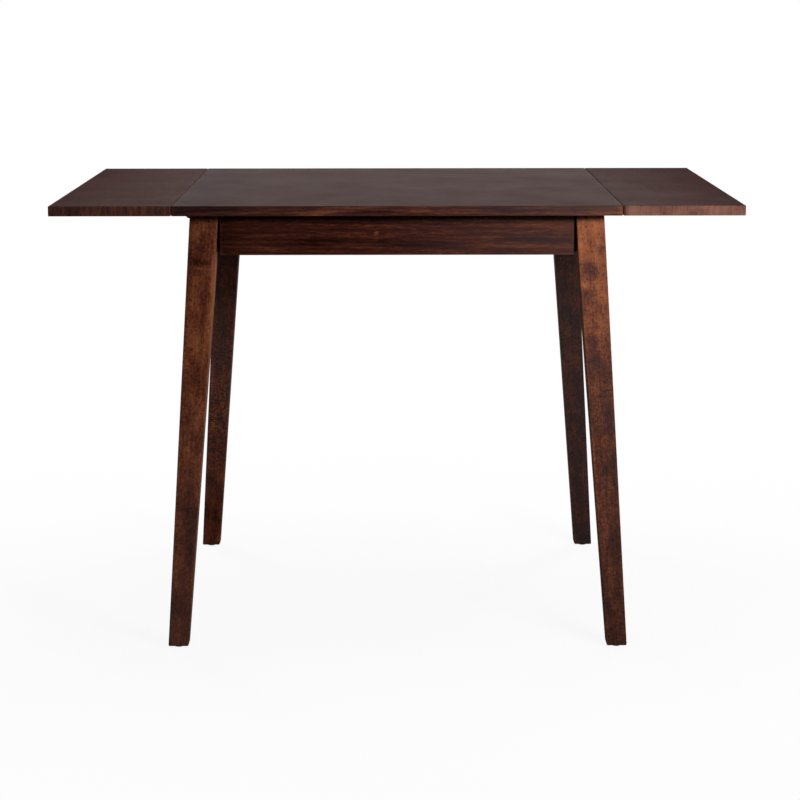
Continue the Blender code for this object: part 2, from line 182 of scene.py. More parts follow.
class Grain(Enum):
    """How a board's own axes (along, across and through the grain) lie, as an Euler turn."""

    X_FLAT = (0.0, 0.0, 0.0)
    Y_FLAT = (0.0, 0.0, QUARTER)
    X_ON_EDGE = (QUARTER, 0.0, 0.0)
    Y_ON_EDGE = (QUARTER, 0.0, QUARTER)
    UPRIGHT = (0.0, QUARTER, 0.0)


def table_corners() -> Iterator[tuple[str, Side, End]]:
    """The table's four corners: each one's word, side and end."""
    return ((f"{end.word}_{side.word}", side, end) for end in End for side in Side)


# Shader graphs


class Link:
    """An output socket of a node, whose Python operators add Math nodes."""

    def __init__(self, graph: Graph, socket: bpy.types.NodeSocket) -> None:
        """Keep the socket and the graph it belongs to."""
        self.graph = graph
        self.socket = socket

    def __add__(self, other: Value) -> Link:
        """Add another value."""
        return self.graph.math("ADD", self, other)

    def __sub__(self, other: Value) -> Link:
        """Take another value away."""
        return self.graph.math("SUBTRACT", self, other)

    def __rsub__(self, other: Value) -> Link:
        """Take this value away from another."""
        return self.graph.math("SUBTRACT", other, self)

    def __mul__(self, other: Value) -> Link:
        """Multiply by another value."""
        return self.graph.math("MULTIPLY", self, other)

    def __truediv__(self, other: Value) -> Link:
        """Divide by another value."""
        return self.graph.math("DIVIDE", self, other)

    def __rtruediv__(self, other: Value) -> Link:
        """Divide another value by this one."""
        return self.graph.math("DIVIDE", other, self)

    def __pow__(self, other: Value) -> Link:
        """Raise to a power."""
        return self.graph.math("POWER", self, other)

    def __rpow__(self, other: Value) -> Link:
        """Raise another value to this power."""
        return self.graph.math("POWER", other, self)

    __radd__ = __add__
    __rmul__ = __mul__


Value = Union[Link, float, int, Sequence[float]]


class Graph:
    """A node tree that is written as expressions."""

    def __init__(self, tree: bpy.types.NodeTree) -> None:
        """Keep the tree that nodes are added to."""
        self.tree = tree

    def node(
        self,
        kind: str,
        settings: dict[str, Any] | None = None,
        sockets: dict[str | int, Value] | None = None,
        output: str | int = 0,
    ) -> Link:
        """Add a node.

        Args:
            kind: the node's type.
            settings: its properties, set first; "stops" holds a ramp's places and colours.
            sockets: the values or links of its inputs, by name or number.
            output: the output that is returned.

        Returns:
            The named output.
        """
        made = self.tree.nodes.new(kind)
        for name, value in (settings or {}).items():
            if name == "stops":
                self.set_stops(made.color_ramp, value)
            else:
                setattr(made, name, value)
        for name, value in (sockets or {}).items():
            self.feed(made.inputs[name], value)
        return Link(self, made.outputs[output])

    def feed(self, socket: bpy.types.NodeSocket, value: Value) -> None:
        """Link an input socket, or set its value.

        Args:
            socket: the input.
            value: a link, a number, a vector or a colour.
        """
        if isinstance(value, Link):
            self.tree.links.new(value.socket, socket)
        elif socket.type == "RGBA":
            socket.default_value = (*value, 1.0)
        else:
            socket.default_value = value

    @staticmethod
    def set_stops(ramp: bpy.types.ColorRamp, stops: Sequence[tuple[float, Colour]]) -> None:
        """Give a colour ramp its stops.

        Args:
            ramp: the ramp, which starts with two stops.
            stops: places from 0 to 1, and their colours.
        """
        while len(ramp.elements) < len(stops):
            ramp.elements.new(1.0)
        for element, (place, colour) in zip(ramp.elements, stops):
            element.position = place
            element.color = (*colour, 1.0)

    def math(self, operation: str, first: Value, second: Value = 0.0) -> Link:
        """Add a Math node on two values."""
        return self.node("ShaderNodeMath", {"operation": operation}, {0: first, 1: second})

    def rise(self, value: Link, low: float, high: float) -> Link:
        """Map a value to 0 below low and 1 above high, straight between them."""
        sockets = {"Value": value, "From Min": low, "From Max": high}
        return self.node("ShaderNodeMapRange", {}, sockets)

    def mix(self, share: Value, first: Value, second: Value) -> Link:
        """Blend two colours."""
        sockets = {0: share, 6: first, 7: second}
        return self.node("ShaderNodeMix", {"data_type": "RGBA"}, sockets, output=2)

    def outputs(self, link: Link, names: Sequence[str]) -> list[Link]:
        """Several outputs of the node behind a link."""
        return [Link(self, link.socket.node.outputs[name]) for name in names]

    def split(self, vector: Link) -> list[Link]:
        """A vector's three values."""
        return self.outputs(self.node("ShaderNodeSeparateXYZ", {}, {"Vector": vector}), "XYZ")

    def place(self) -> Link:
        """The place on the object."""
        return self.node("ShaderNodeTexCoord", output="Object")


class Skin:
    """A material whose Principled shader is fed by a graph."""

    def __init__(self, name: str) -> None:
        """Make a material with an empty graph and a shader.

        Args:
            name: the material's name.
        """
        self.material = bpy.data.materials.new(name)
        self.material.use_nodes = True
        self.shader = self.material.node_tree.nodes["Principled BSDF"]
        self.graph = Graph(self.material.node_tree)

    def set(self, **sockets: Value) -> None:
        """Feed the shader's sockets, named with underscores for spaces."""
        for name, value in sockets.items():
            self.graph.feed(self.shader.inputs[name.replace("_", " ")], value)

    def bump(self, height: Link, strength: float, distance: float) -> None:
        """Raise the surface by a height from 0 to 1, by a share of a depth in metres."""
        sockets = {"Height": height, "Strength": strength, "Distance": distance}
        self.set(Normal=self.graph.node("ShaderNodeBump", {}, sockets))


@dataclass(frozen=True)
class Noise:
    """A layer of soft noise about 0.5.

    Its pace is in waves for each metre along three axes, its shift sets it apart from other layers, and
    its patches rise from 0 to 1 between the low and the high value.
    """

    pace: Triple
    shift: float = 0.0
    detail: float = 2.0
    rough: float = 0.5
    low: float = 0.0
    high: float = 1.0

    def at(self, vector: Link, seed: float = 0.0) -> Link:
        """Add the noise to a graph.

        Args:
            vector: the place.
            seed: sets one board's pattern apart from another's.

        Returns:
            The noise value.
        """
        graph = vector.graph
        start = tuple(step * (seed + self.shift) for step in SEED_STEP)
        sockets = {0: vector, 1: self.pace, 2: start}
        paced = graph.node("ShaderNodeVectorMath", {"operation": "MULTIPLY_ADD"}, sockets)
        sockets = {"Vector": paced, "Scale": 1.0, "Detail": self.detail, "Roughness": self.rough}
        return graph.node("ShaderNodeTexNoise", {}, sockets)

    def wave(self, vector: Link, seed: float) -> Link:
        """The noise about 0."""
        return self.at(vector, seed) - 0.5

    def patch(self, value: Link) -> Link:
        """Turn a value of the noise into its patches."""
        return value.graph.rise(value, self.low, self.high)

    def patches(self, vector: Link, seed: float) -> Link:
        """The noise's patches at a place."""
        return self.patch(self.at(vector, seed))


# Layers of a wood's figure, on a board's own axes
SLOW_BEND = Noise((2.6, 11.0, 11.0))
QUICK_BEND = Noise((13.0, 55.0, 55.0), shift=0.31)
RAGGED_RIM = Noise((90.0, 240.0, 240.0), shift=2.71, detail=3.0, rough=0.7)
STREAKS = Noise((6.0, 1.0, 40.0), shift=0.57, detail=5.0)
BLOTCHES = Noise((9.0, 34.0, 34.0), shift=1.57, detail=5.0)
FIBRES = Noise((60.0, 380.0, 380.0), shift=2.09, detail=4.0, rough=0.65)
PORES = Noise((160.0, 850.0, 850.0), shift=0.83, detail=1.0, low=0.58, high=0.72)
FLECKS = Noise((300.0, 160.0, 160.0), shift=1.21, low=0.50, high=0.64)
TICKS = Noise((330.0, 45.0, 45.0), shift=1.83, low=0.56, high=0.72)
THIN_STAIN = Noise((22.0, 60.0, 60.0), shift=2.3, low=0.40, high=0.72)
LACQUER_FILM = Noise((10.0, 7.0, 7.0), shift=3.1, detail=7.0, rough=0.6)


# Finishes


@dataclass(frozen=True)
class Mark:
    """A patch in a board's figure: a smudge, streak, knot or flecks, or a strip of painted shade or
    highlight.

    Attributes:
        along: its place along the grain, from the board's middle.
        across: its place across the grain.
        length: its reach along the grain.
        width: its reach across the grain.
        tone: how much paler it is, or darker below 0.
        swirl: how far it pushes the growth rings aside, as a knot does.
        fleck: how many more dark flecks it has.
        slant: how far it moves across the grain for each metre along.
    """

    along: float
    across: float
    length: float
    width: float
    tone: float
    swirl: float = 0.0
    fleck: float = 0.0
    slant: float = 0.0

    def spot(self, along: Link, across: Link, bend: Link, ragged: Link) -> Link:
        """A soft spot with a ragged rim: e to the minus square of the distance over the mark's size.

        Args:
            along: the place along the grain.
            across: the place across the grain.
            bend: the quick bend of the grain.
            ragged: finer noise for the rim.

        Returns:
            1 at the mark's middle, falling to 0 around it.
        """
        length, width = min(self.length, RAGGED_LENGTH), min(self.width, RAGGED_WIDTH)
        run = along + (bend * LENGTH_BEND + ragged) * length - self.along
        rise = across + (bend * WIDTH_BEND + ragged) * width - self.across
        if self.slant:
            rise = rise - run * self.slant
        run, rise = run / self.length, rise / self.width
        return along.graph.math("EXPONENT", 0.0 - (run * run + rise * rise))


@dataclass(frozen=True)
class Plank:
    """How one board was cut from its tree, how it took the stain, and the painted light and shade on it.

    Attributes:
        seed: sets its noise apart from other boards'.
        heart: how far the tree's heart lies beside and behind its middle.
        lean: how far the heart drifts away for each metre along it.
        tone: how much paler it is than others, or darker below 0.
        fade: how much paler it gets for each metre along.
        edge_tone: how much paler its edges are than its faces.
        bloom: the share of painted sheen, a grey for reflected light, at its middle.
        bloom_fade: how much more painted sheen there is for each metre along.
        fleck: how strong its flecks are.
        gloss: how much lacquer it holds at its middle.
        gloss_fade: how much more lacquer there is for each metre across.
        marks: patches in its figure, some of them painted shade and painted highlights.
    """

    seed: float
    heart: tuple[float, float] = (0.055, 0.050)
    lean: float = 0.015
    tone: float = 0.0
    fade: float = 0.0
    edge_tone: float = 0.0
    bloom: float = 0.0
    bloom_fade: float = 0.0
    fleck: float = 1.0
    gloss: float = 1.0
    gloss_fade: float = 0.0
    marks: tuple[Mark, ...] = ()


class Board:
    """A plank's own coordinates in a graph, from its middle: along, across and through the grain."""

    def __init__(
        self, graph: Graph, plank: Plank, centre: Sequence[float], turn: Sequence[float], half: float
    ) -> None:
        """Lay the coordinates, and tell a panel's faces from its edges.

        Args:
            graph: the graph.
            plank: how the board was cut and stained.
            centre: the board's middle.
            turn: the board's own axes as an Euler turn.
            half: half of the board's size through the grain.
        """
        sockets = {"Vector": graph.place(), "Location": tuple(centre), "Rotation": tuple(turn)}
        self.graph = graph
        self.plank = plank
        self.half = half
        self.grain = graph.node("ShaderNodeMapping", {"vector_type": "TEXTURE"}, sockets)
        self.along, self.across, self.through = graph.split(self.grain)
        start, whole = (half - depth for depth in FACE_DEPTHS)
        self.face = graph.rise(graph.math("ABSOLUTE", self.through), start, whole)

    def underside(self) -> Link:
        """1 on a panel's underside, 0 above it."""
        whole, end = (self.half * share for share in UNDERSIDE_SHARES)
        return 1.0 - self.graph.rise(self.through, whole, end)


@dataclass(frozen=True)
class WoodFinish:
    """Stained wood under lacquer: growth rings, streaks, pores, blotches and rubbed edges.

    Attributes:
        deep, body, glow: the stain on dark, middling and pale wood.
        rubbed: the wood where the stain is rubbed thin.
        ring_width: from one growth ring to the next.
        sway, ripple: how far the slow and the quick bend move the grain.
        streak, fibre, ring, pore, fleck, tick, blotch: how strong each is in the tone.
        streak_pace, fibre_pace, blotch_pace: their waves for each metre.
        face_contrast: a panel's faces' contrast as a share of its edges'.
        face_tone: how much paler its faces are.
        under_tone: how much paler its underside is.
        wear: how far the stain is rubbed off the edges.
        roughness: the wood's and the lacquer's.
        pore_roughness, blotch_roughness: what pores and blotches add to the wood's.
        lacquer: how much of it there is, at a gloss of 1.
        cloud: how unevenly it lies.
        relief, relief_depth: how strong and how deep the surface's relief is.
        streak_height, pore_depth: their shares of the relief.
    """

    deep: Colour
    body: Colour
    glow: Colour
    rubbed: Colour
    ring_width: float = 0.004
    sway: float = 0.012
    ripple: float = 0.004
    streak: float = 1.1
    streak_pace: Triple = STREAKS.pace
    fibre: float = 0.5
    fibre_pace: Triple = FIBRES.pace
    ring: float = 0.07
    pore: float = 0.20
    fleck: float = 0.0
    tick: float = 0.0
    blotch: float = 0.5
    blotch_pace: Triple = BLOTCHES.pace
    face_contrast: float = 1.0
    face_tone: float = 0.0
    under_tone: float = 0.0
    wear: float = 0.5
    roughness: float = 0.42
    pore_roughness: float = 0.10
    blotch_roughness: float = 0.12
    lacquer: float = 0.20
    cloud: float = 0.3
    relief: float = 0.12
    relief_depth: float = 0.0004
    streak_height: float = 0.5
    pore_depth: float = 0.6

    def material(
        self, name: str, plank: Plank, centre: Sequence[float], turn: Sequence[float], half: float
    ) -> Material:
        """Make one board's material: its figure, the stain over it and the lacquer.

        Args:
            name: the material's name.
            plank: how the board was cut and stained.
            centre: the board's middle.
            turn: the board's own axes as an Euler turn.
            half: half of the board's size through the grain.

        Returns:
            The material.
        """
        skin = Skin(name)
        board = Board(skin.graph, plank, centre, turn, half)
        streak, blotch, pore, tone = self.figure(board)
        skin.set(
            Base_Color=self.colour(board, tone),
            Roughness=pore * self.pore_roughness + blotch * self.blotch_roughness + self.roughness,
            Specular_IOR_Level=0.0,
        )
        if self.lacquer:
            film = LACQUER_FILM.wave(board.grain, plank.seed) * self.cloud + 1.0
            gloss = board.across * plank.gloss_fade + plank.gloss
            weight = film * gloss * self.lacquer
            skin.set(Coat_Weight=weight, Coat_Roughness=self.roughness, Coat_IOR=LACQUER_IOR)
        height = streak * self.streak_height - pore * self.pore_depth + 0.5
        skin.bump(height, self.relief, self.relief_depth)
        return skin.material

    def figure(self, board: Board) -> tuple[Link, Link, Link, Link]:
        """Work out a board's figure.

        The growth at a point is its distance from the tree's heart in ring widths. The heart lies
        beside and behind the board and drifts away along it, and noise and knots bend the distance.
        Streaks are noise on the growth, so that they follow the rings, whose wave is the cube of
        0.5 + 0.5 sin(2 pi growth). Tone adds up streaks, rings, fibres, pores, flecks, ticks, blotches
        and marks, and is calmer on a panel's faces than on its edges. A panel's underside took less
        stain.

        Args:
            board: the board's own coordinates.

        Returns:
            The streaks, the blotches, the pores and the tone.
        """
        graph, grain, plank, seed = board.graph, board.grain, board.plank, board.plank.seed
        slow, quick = SLOW_BEND.wave(grain, seed), QUICK_BEND.wave(grain, seed)
        side = board.across + slow * self.sway + quick * self.ripple + plank.heart[0]
        depth = board.through + board.along * plank.lean + slow * self.sway + plank.heart[1]
        tint = board.along * plank.fade
        flecked = self.fleck * plank.fleck
        ragged = RAGGED_RIM.wave(grain, seed)
        for mark in plank.marks:
            spot = mark.spot(board.along, board.across, quick, ragged)
            tint = tint + spot * mark.tone
            if mark.swirl:
                side = side + spot * mark.swirl
            if mark.fleck:
                flecked = flecked + spot * mark.fleck
        growth = (side * side + depth * depth) ** 0.5 / self.ring_width
        rings = {"X": board.along, "Y": growth, "Z": board.through}
        line = graph.node("ShaderNodeCombineXYZ", {}, rings)
        streak = replace(STREAKS, pace=self.streak_pace).wave(line, seed)
        blotch = replace(BLOTCHES, pace=self.blotch_pace).wave(grain, seed)
        fibre = replace(FIBRES, pace=self.fibre_pace).wave(grain, seed)
        pore = PORES.patches(grain, seed)
        late = graph.math("SINE", growth * FULL_TURN) * 0.5 + 0.5
        tone = streak * self.streak + blotch * self.blotch + fibre * self.fibre
        tone = tone - late * late * late * self.ring - pore * self.pore
        if self.fleck:
            tone = tone - FLECKS.patches(grain, seed) * flecked
        if self.tick:
            tone = tone - TICKS.patches(grain, seed) * self.tick
        calm = board.face * (self.face_contrast - 1.0) + 1.0
        tone = (tone + tint + self.ring * RING_MEAN) * calm
        tone = tone + (1.0 - board.face) * plank.edge_tone + board.face * self.face_tone
        if self.under_tone:
            tone = tone + board.face * board.underside() * self.under_tone
        return streak, blotch, pore, tone + (0.5 + plank.tone)

    def colour(self, board: Board, tone: Link) -> Link:
        """Stain the wood by its tone, rub the stain off the edges, and grey it with painted sheen.

        Args:
            board: the board's own coordinates.
            tone: the figure's tone.

        Returns:
            The colour.
        """
        graph, plank = board.graph, board.plank
        palest = tuple(body + PALEST_STEP * (glow - body) for body, glow in zip(self.body, self.glow))
        stops = tuple(zip(STAIN_STOPS, (self.deep, self.body, self.glow, palest)))
        stained = graph.node("ShaderNodeValToRGB", {"stops": stops}, {"Fac": tone * RAMP_SHARE})
        arris = graph.node("ShaderNodeAttribute", {"attribute_name": "arris"}, output="Fac")
        worn = arris * THIN_STAIN.patches(board.grain, plank.seed) * self.wear
        colour = graph.mix(worn, stained, self.rubbed)
        # Painted sheen: a grey mixed into the edges, most on dark wood, that stands in for reflected
        # light
        if plank.bloom or plank.bloom_fade:
            sheen_share = graph.rise(board.along * plank.bloom_fade + plank.bloom, 0.0, 1.0)
            sheen_on_dark = PAINTED_SHEEN_MOST - graph.rise(tone, *PAINTED_SHEEN_TONES)
            colour = graph.mix(sheen_share * (1.0 - board.face) * sheen_on_dark, colour, PAINTED_SHEEN_COLOUR)
        return colour


@dataclass(frozen=True)
class SteelFinish:
    """Dull zinc plate with fine rubbing marks and darker stains."""

    bright: Colour = (0.46, 0.45, 0.43)
    dull: Colour = (0.27, 0.26, 0.24)
    roughness: float = 0.36
    stain_roughness: float = 0.18
    rub_roughness: float = 0.12
    relief: float = 0.10
    relief_depth: float = 0.0002
    stains: Noise = Noise((160.0, 160.0, 160.0), shift=0.4, detail=3.0, low=0.36, high=0.64)
    rubbing: Noise = Noise((900.0, 90.0, 900.0), shift=1.3)

    def material(self, name: str) -> Material:
        """Make the metal's material.

        Args:
            name: the material's name.

        Returns:
            The material.
        """
        skin = Skin(name)
        place = skin.graph.place()
        stain, rub = self.stains.at(place), self.rubbing.at(place)
        smoothest = self.roughness - (self.stain_roughness + self.rub_roughness) / 2
        skin.set(
            Base_Color=skin.graph.mix(self.stains.patch(stain), self.dull, self.bright),
            Metallic=1.0,
            Roughness=stain * self.stain_roughness + rub * self.rub_roughness + smoothest,
        )
        skin.bump(rub, self.relief, self.relief_depth)
        return skin.material


@dataclass(frozen=True)
class GlideFinish:
    """Black moulded plastic, scuffed grey where it rubs on the floor."""

    black: Colour = (0.012, 0.011, 0.011)
    scuffed: Colour = (0.060, 0.055, 0.050)
    scuffed_up_to: tuple[float, float] = (0.0002, 0.0022)
    smoothest: float = 0.35
    scuff_roughness: float = 0.3
    shine: float = 0.2
    relief: float = 0.2
    relief_depth: float = 0.0003
    scuffs: Noise = Noise((420.0, 420.0, 420.0), shift=0.9, detail=4.0, low=0.46, high=0.66)

    def material(self, name: str) -> Material:
        """Make the plastic's material.

        Args:
            name: the material's name.

        Returns:
            The material.
        """
        skin = Skin(name)
        graph = skin.graph
        place = graph.place()
        scuff = self.scuffs.at(place)
        low = 1.0 - graph.rise(graph.split(place)[2], *self.scuffed_up_to)
        skin.set(
            Base_Color=graph.mix(self.scuffs.patch(scuff) * low, self.black, self.scuffed),
            Roughness=scuff * self.scuff_roughness + self.smoothest,
            Specular_IOR_Level=self.shine,
        )
        skin.bump(scuff, self.relief, self.relief_depth)
        return skin.material


WALNUT_TOP = WoodFinish(
    deep=(0.0110, 0.0036, 0.0032),
    body=(0.0420, 0.0144, 0.0112),
    glow=(0.1550, 0.0480, 0.0200),
    rubbed=(0.0900, 0.0340, 0.0200),
    streak=1.6,
    streak_pace=(10.0, 1.3, 190.0),
    face_contrast=0.32,
    face_tone=-0.15,
    under_tone=0.32,
    wear=0.20,
    roughness=0.46,
    lacquer=0.57,
    cloud=0.9,
    relief=0.05,
)
WALNUT_LEAF = replace(
    WALNUT_TOP, streak=1.0, streak_pace=(10.0, 1.0, 40.0), fibre=0.25, blotch=0.6, face_contrast=0.4
)
# The right leaf's finish, paler and greyer at the edges: partly the wood's tone, partly painted light
# and painted sheen from the lamp at the right
PALE_AND_PAINTED_LIGHT_LEAF = replace(
    WALNUT_LEAF, glow=(0.1650, 0.0730, 0.0540), streak=0.55, blotch=0.9, face_contrast=0.5
)
WALNUT_LEG = WoodFinish(
    deep=(0.0200, 0.0056, 0.0036),
    body=(0.0920, 0.0250, 0.0122),
    glow=(0.2400, 0.0760, 0.0310),
    rubbed=(0.2300, 0.0700, 0.0240),
    sway=0.010,
    ripple=0.006,
    streak=0.5,
    fibre=1.1,
    fibre_pace=(130.0, 340.0, 340.0),
    ring=0.03,
    pore=0.14,
    fleck=0.12,
    tick=0.15,
    blotch=1.0,
    blotch_pace=(22.0, 44.0, 44.0),
    wear=0.16,
    lacquer=0.22,
)
WALNUT_APRON = WoodFinish(
    deep=(0.0110, 0.0028, 0.0019),
    body=(0.0400, 0.0104, 0.0064),
    glow=(0.1250, 0.0380, 0.0180),
    rubbed=(0.1500, 0.0450, 0.0180),
    streak=1.15,
    streak_pace=(7.0, 1.0, 40.0),
    fibre=0.9,
    wear=0.20,
)
PLAIN_INNER = WoodFinish(
    deep=(0.0260, 0.0100, 0.0062),
    body=(0.0560, 0.0230, 0.0140),
    glow=(0.1050, 0.0450, 0.0250),
    rubbed=(0.1300, 0.0600, 0.0320),
    roughness=0.60,
    lacquer=0.06,
)
BARE_DOWEL = WoodFinish(
    deep=(0.210, 0.120, 0.060),
    body=(0.340, 0.215, 0.112),
    glow=(0.430, 0.290, 0.165),
    rubbed=(0.470, 0.330, 0.200),
    ring_width=0.002,
    sway=0.006,
    ripple=0.001,
    roughness=0.62,
    lacquer=0.0,
)


# Boards that are seen from the front, whose marks give along, across, length, width and tone

CENTRE_PLANK = Plank(
    # Paler towards the right end, and greyer there on the front edge: partly the wood's tone, partly
    # painted light and painted sheen from the lamp at the right
    seed=1.0, fade=0.15, bloom_fade=0.60, gloss_fade=0.22,
    marks=(
        Mark(-0.33, 0.0, 0.060, 1.0, -0.25),
        Mark(-0.22, 0.0, 0.050, 1.0, 0.12),
        # A pale strip at the right end, by the joint: partly a paler patch of wood, partly a painted
        # highlight on the corner
        Mark(0.366, 0.0, 0.006, 1.0, 0.32),
    ),
)
LEFT_LEAF_PLANK = Plank(
    seed=2.0, heart=(0.30, 0.02), tone=0.07, bloom=0.08, gloss=0.52, gloss_fade=-2.1,
    # A pale strip along the edge at the joint: painted highlight on the corner
    marks=(Mark(0.0, -0.099, 1.0, 0.003, 0.12),),
)
RIGHT_LEAF_PLANK = Plank(
    # The front edge is paler and greyer than the left leaf's: partly the wood's tone, partly painted
    # light and painted sheen from the lamp at the right
    seed=3.0, heart=(0.30, 0.02), tone=0.05, edge_tone=0.34, bloom=0.06, gloss=0.53, gloss_fade=2.6,
    # A dark strip along the edge at the joint: painted shadow in the gap
    marks=(Mark(0.0, 0.099, 1.0, 0.004, -0.60),),
)
LEG_PLANKS = {
    "front_left": Plank(
        seed=11.0, tone=0.05, bloom=0.05, bloom_fade=0.38, gloss=1.3,
        marks=(
            # A dark band at the top of the leg, under the overhang of the top: painted shade
            Mark(-0.364, 0.000, 0.008, 0.060, -0.50),
            Mark(-0.120, 0.000, 0.140, 0.060, 0.11),
            Mark(0.130, 0.000, 0.070, 0.060, -0.08),
            Mark(-0.340, 0.000, 0.016, 0.020, 0.14),
            Mark(-0.302, -0.004, 0.018, 0.018, -0.20),
            Mark(-0.284, -0.008, 0.006, 0.014, -0.32),
            Mark(-0.274, -0.002, 0.002, 0.016, 0.25),
            Mark(-0.245, 0.019, 0.070, 0.004, 0.32),
            Mark(-0.193, -0.006, 0.016, 0.010, -0.18),
            # A dark strip down the leg's inner side face: painted shade
            Mark(0.000, 0.0218, 1.000, 0.0016, -1.00, slant=-0.0096),
        ),
    ),
    "front_right": Plank(
        seed=12.0, tone=0.03, fade=-0.16, bloom=0.16, bloom_fade=-0.12, fleck=1.6, gloss=0.3,
        marks=(
            # A dark band at the top of the leg, under the overhang of the top: painted shade
            Mark(-0.364, 0.000, 0.007, 0.060, -0.60),
            # A paler upper leg: partly the wood's tone, partly painted light from the lamp at the right
            Mark(-0.350, 0.000, 0.165, 0.060, 0.39),
            Mark(-0.304, 0.012, 0.010, 0.006, -0.28),
            Mark(-0.272, -0.002, 0.013, 0.013, -0.32),
            Mark(-0.245, -0.014, 0.004, 0.004, 0.50, swirl=0.004),
            Mark(-0.250, 0.004, 0.006, 0.010, 0.20),
            Mark(-0.230, -0.012, 0.010, 0.007, -0.28),
            Mark(-0.208, 0.010, 0.005, 0.003, -0.35),
            Mark(-0.100, 0.010, 0.020, 0.012, -0.18),
            Mark(0.024, -0.016, 0.030, 0.003, 0.40),
            Mark(0.110, 0.000, 0.060, 0.060, 0.09),
            Mark(0.340, 0.000, 0.060, 0.060, -0.07),
        ),
    ),
    "rear_left": Plank(
        seed=13.0, tone=-0.085, bloom=0.155, bloom_fade=-0.45, fleck=0.6,
        marks=(
            # A paler patch on the upper leg, where the front apron shades it: painted light
            Mark(-0.155, 0.0, 0.070, 0.060, 0.18),
            Mark(0.045, 0.0, 0.110, 0.060, 0.12, fleck=0.70),
        ),
    ),
    "rear_right": Plank(
        seed=14.0, tone=-0.19, fade=-0.29, bloom=0.19, fleck=1.5,
        marks=(Mark(0.090, 0.0, 0.004, 0.014, 0.25), Mark(0.104, 0.0, 0.012, 0.014, -0.25)),
    ),
}
FRONT_APRON_PLANK = Plank(
    # Paler towards the right end, and greyer there: partly the wood's tone, partly painted light and
    # painted sheen from the lamp at the right
    seed=21.0, fade=0.16, bloom=0.03, bloom_fade=0.60,
    marks=(
        # A dark strip along the top of the apron, under the overhang of the top: painted shade
        Mark(0.000, 0.034, 1.000, 0.007, -0.80),
        Mark(-0.285, 0.000, 0.022, 0.060, -0.20),
        Mark(0.010, 0.000, 0.050, 0.030, -0.12),
        Mark(-0.114, 0.002, 0.010, 0.006, 0.06, swirl=0.003),
        Mark(-0.033, 0.000, 0.014, 0.010, 0.00, swirl=0.004),
        Mark(-0.034, 0.001, 0.0045, 0.0035, 0.60),
        Mark(-0.024, -0.010, 0.010, 0.004, -0.25),
        Mark(0.220, -0.008, 0.060, 0.004, -0.30),
        Mark(0.230, -0.024, 0.060, 0.004, 0.15),
    ),
)


# Surfaces


@dataclass
class Sheet:
    """A stack of rings that becomes the skin of a solid.

    Rings are shaped (count, sides, 3). The ends are closed with flat faces, unless the stack is looped,
    when the last ring joins the first. Wear is the rubbing at each point, shaped (count, sides).
    """

    rings: Array
    wear: Array | None = None
    looped: bool = False

    def faces(self, first: int) -> list[list[int]]:
        """List the faces: a quad between neighbours in two rings, and the two ends.

        Args:
            first: the number of the sheet's first vertex.

        Returns:
            One list of vertex numbers for each face, the ends last.
        """
        count, sides = self.rings.shape[:2]
        index = first + np.arange(count * sides).reshape(count, sides)
        above = np.roll(index, -1, axis=0)
        lower, upper = (index, above) if self.looped else (index[:-1], above[:-1])
        quads = [lower, np.roll(lower, -1, axis=1), np.roll(upper, -1, axis=1), upper]
        faces = np.stack(quads, axis=-1).reshape(-1, 4).tolist()
        if not self.looped:
            faces += [index[0][::-1].tolist(), index[-1].tolist()]
        return faces


def inset_polygon(corners: Array, inset: Array) -> Array:
    """Draw a polygon's sides inwards.

    A corner moves by inset * (m + n) / (1 + m . n), where m and n are the inward unit normals of its
    two sides.

    Args:
        corners: the polygon, counter-clockwise, shaped (k, 2) or (r, k, 2).
        inset: one distance for each polygon, shaped (r,).

    Returns:
        The polygons, shaped (r, k, 2).
    """
    side = np.roll(corners, -1, axis=-2) - corners
    side = side / np.linalg.norm(side, axis=-1, keepdims=True)
    leaving = np.stack([-side[..., 1], side[..., 0]], axis=-1)
    arriving = np.roll(leaving, 1, axis=-2)
    share = 1.0 + (leaving * arriving).sum(axis=-1, keepdims=True)
    return corners + inset[:, None, None] * (leaving + arriving) / share


def eased_loops(corners: Array, radius: Array) -> tuple[Array, Array]:
    """Round the corners of polygons.

    A corner that turns by an angle t from unit direction a has an arc that starts radius * tan(t / 2)
    before it. At a share s of the turn the arc's point is start + radius * sin(s t) * a +
    radius * (1 - cos(s t)) * n, where n is a's normal on the inside of the turn. A shoulder point on
    each side of the arc keeps an edge's wear close to it.

    Args:
        corners: polygons, counter-clockwise, shaped (r, k, 2).
        radius: one radius for each polygon, shaped (r,).

    Returns:
        Points shaped (r, n, 2), and their wear, 1 on the arcs and 0 on the flats, shaped (n,).
    """
    side = np.roll(corners, -1, axis=1) - corners
    length = np.linalg.norm(side, axis=-1, keepdims=True)
    leaving = side / length
    arriving = np.roll(leaving, 1, axis=1)
    cross = arriving[..., 0] * leaving[..., 1] - arriving[..., 1] * leaving[..., 0]
    turn = np.arctan2(cross, (arriving * leaving).sum(axis=-1))[..., None]
    normal = np.stack([-arriving[..., 1], arriving[..., 0]], axis=-1) * np.sign(turn)
    reach = radius[:, None, None] * np.tan(np.abs(turn) / 2)
    spare = SHOULDER_SHARE * (length - reach - np.roll(reach, -1, axis=1))
    start = corners - arriving * reach
    angle = np.abs(turn) * np.linspace(0.0, 1.0, ARC_STEPS + 1)
    arc = radius[:, None, None, None] * (
        np.sin(angle)[..., None] * arriving[:, :, None]
        + (1.0 - np.cos(angle))[..., None] * normal[:, :, None]
    )
    arc = arc + start[:, :, None]
    before = start - arriving * np.minimum(SHOULDER, np.roll(spare, 1, axis=1))
    after = arc[:, :, -1] + leaving * np.minimum(SHOULDER, spare)
    points = np.concatenate([before[:, :, None], arc, after[:, :, None]], axis=2)
    wear = np.concatenate([[0.0], np.ones(ARC_STEPS + 1), [0.0]])
    return points.reshape(len(corners), -1, 2), np.tile(wear, corners.shape[1])


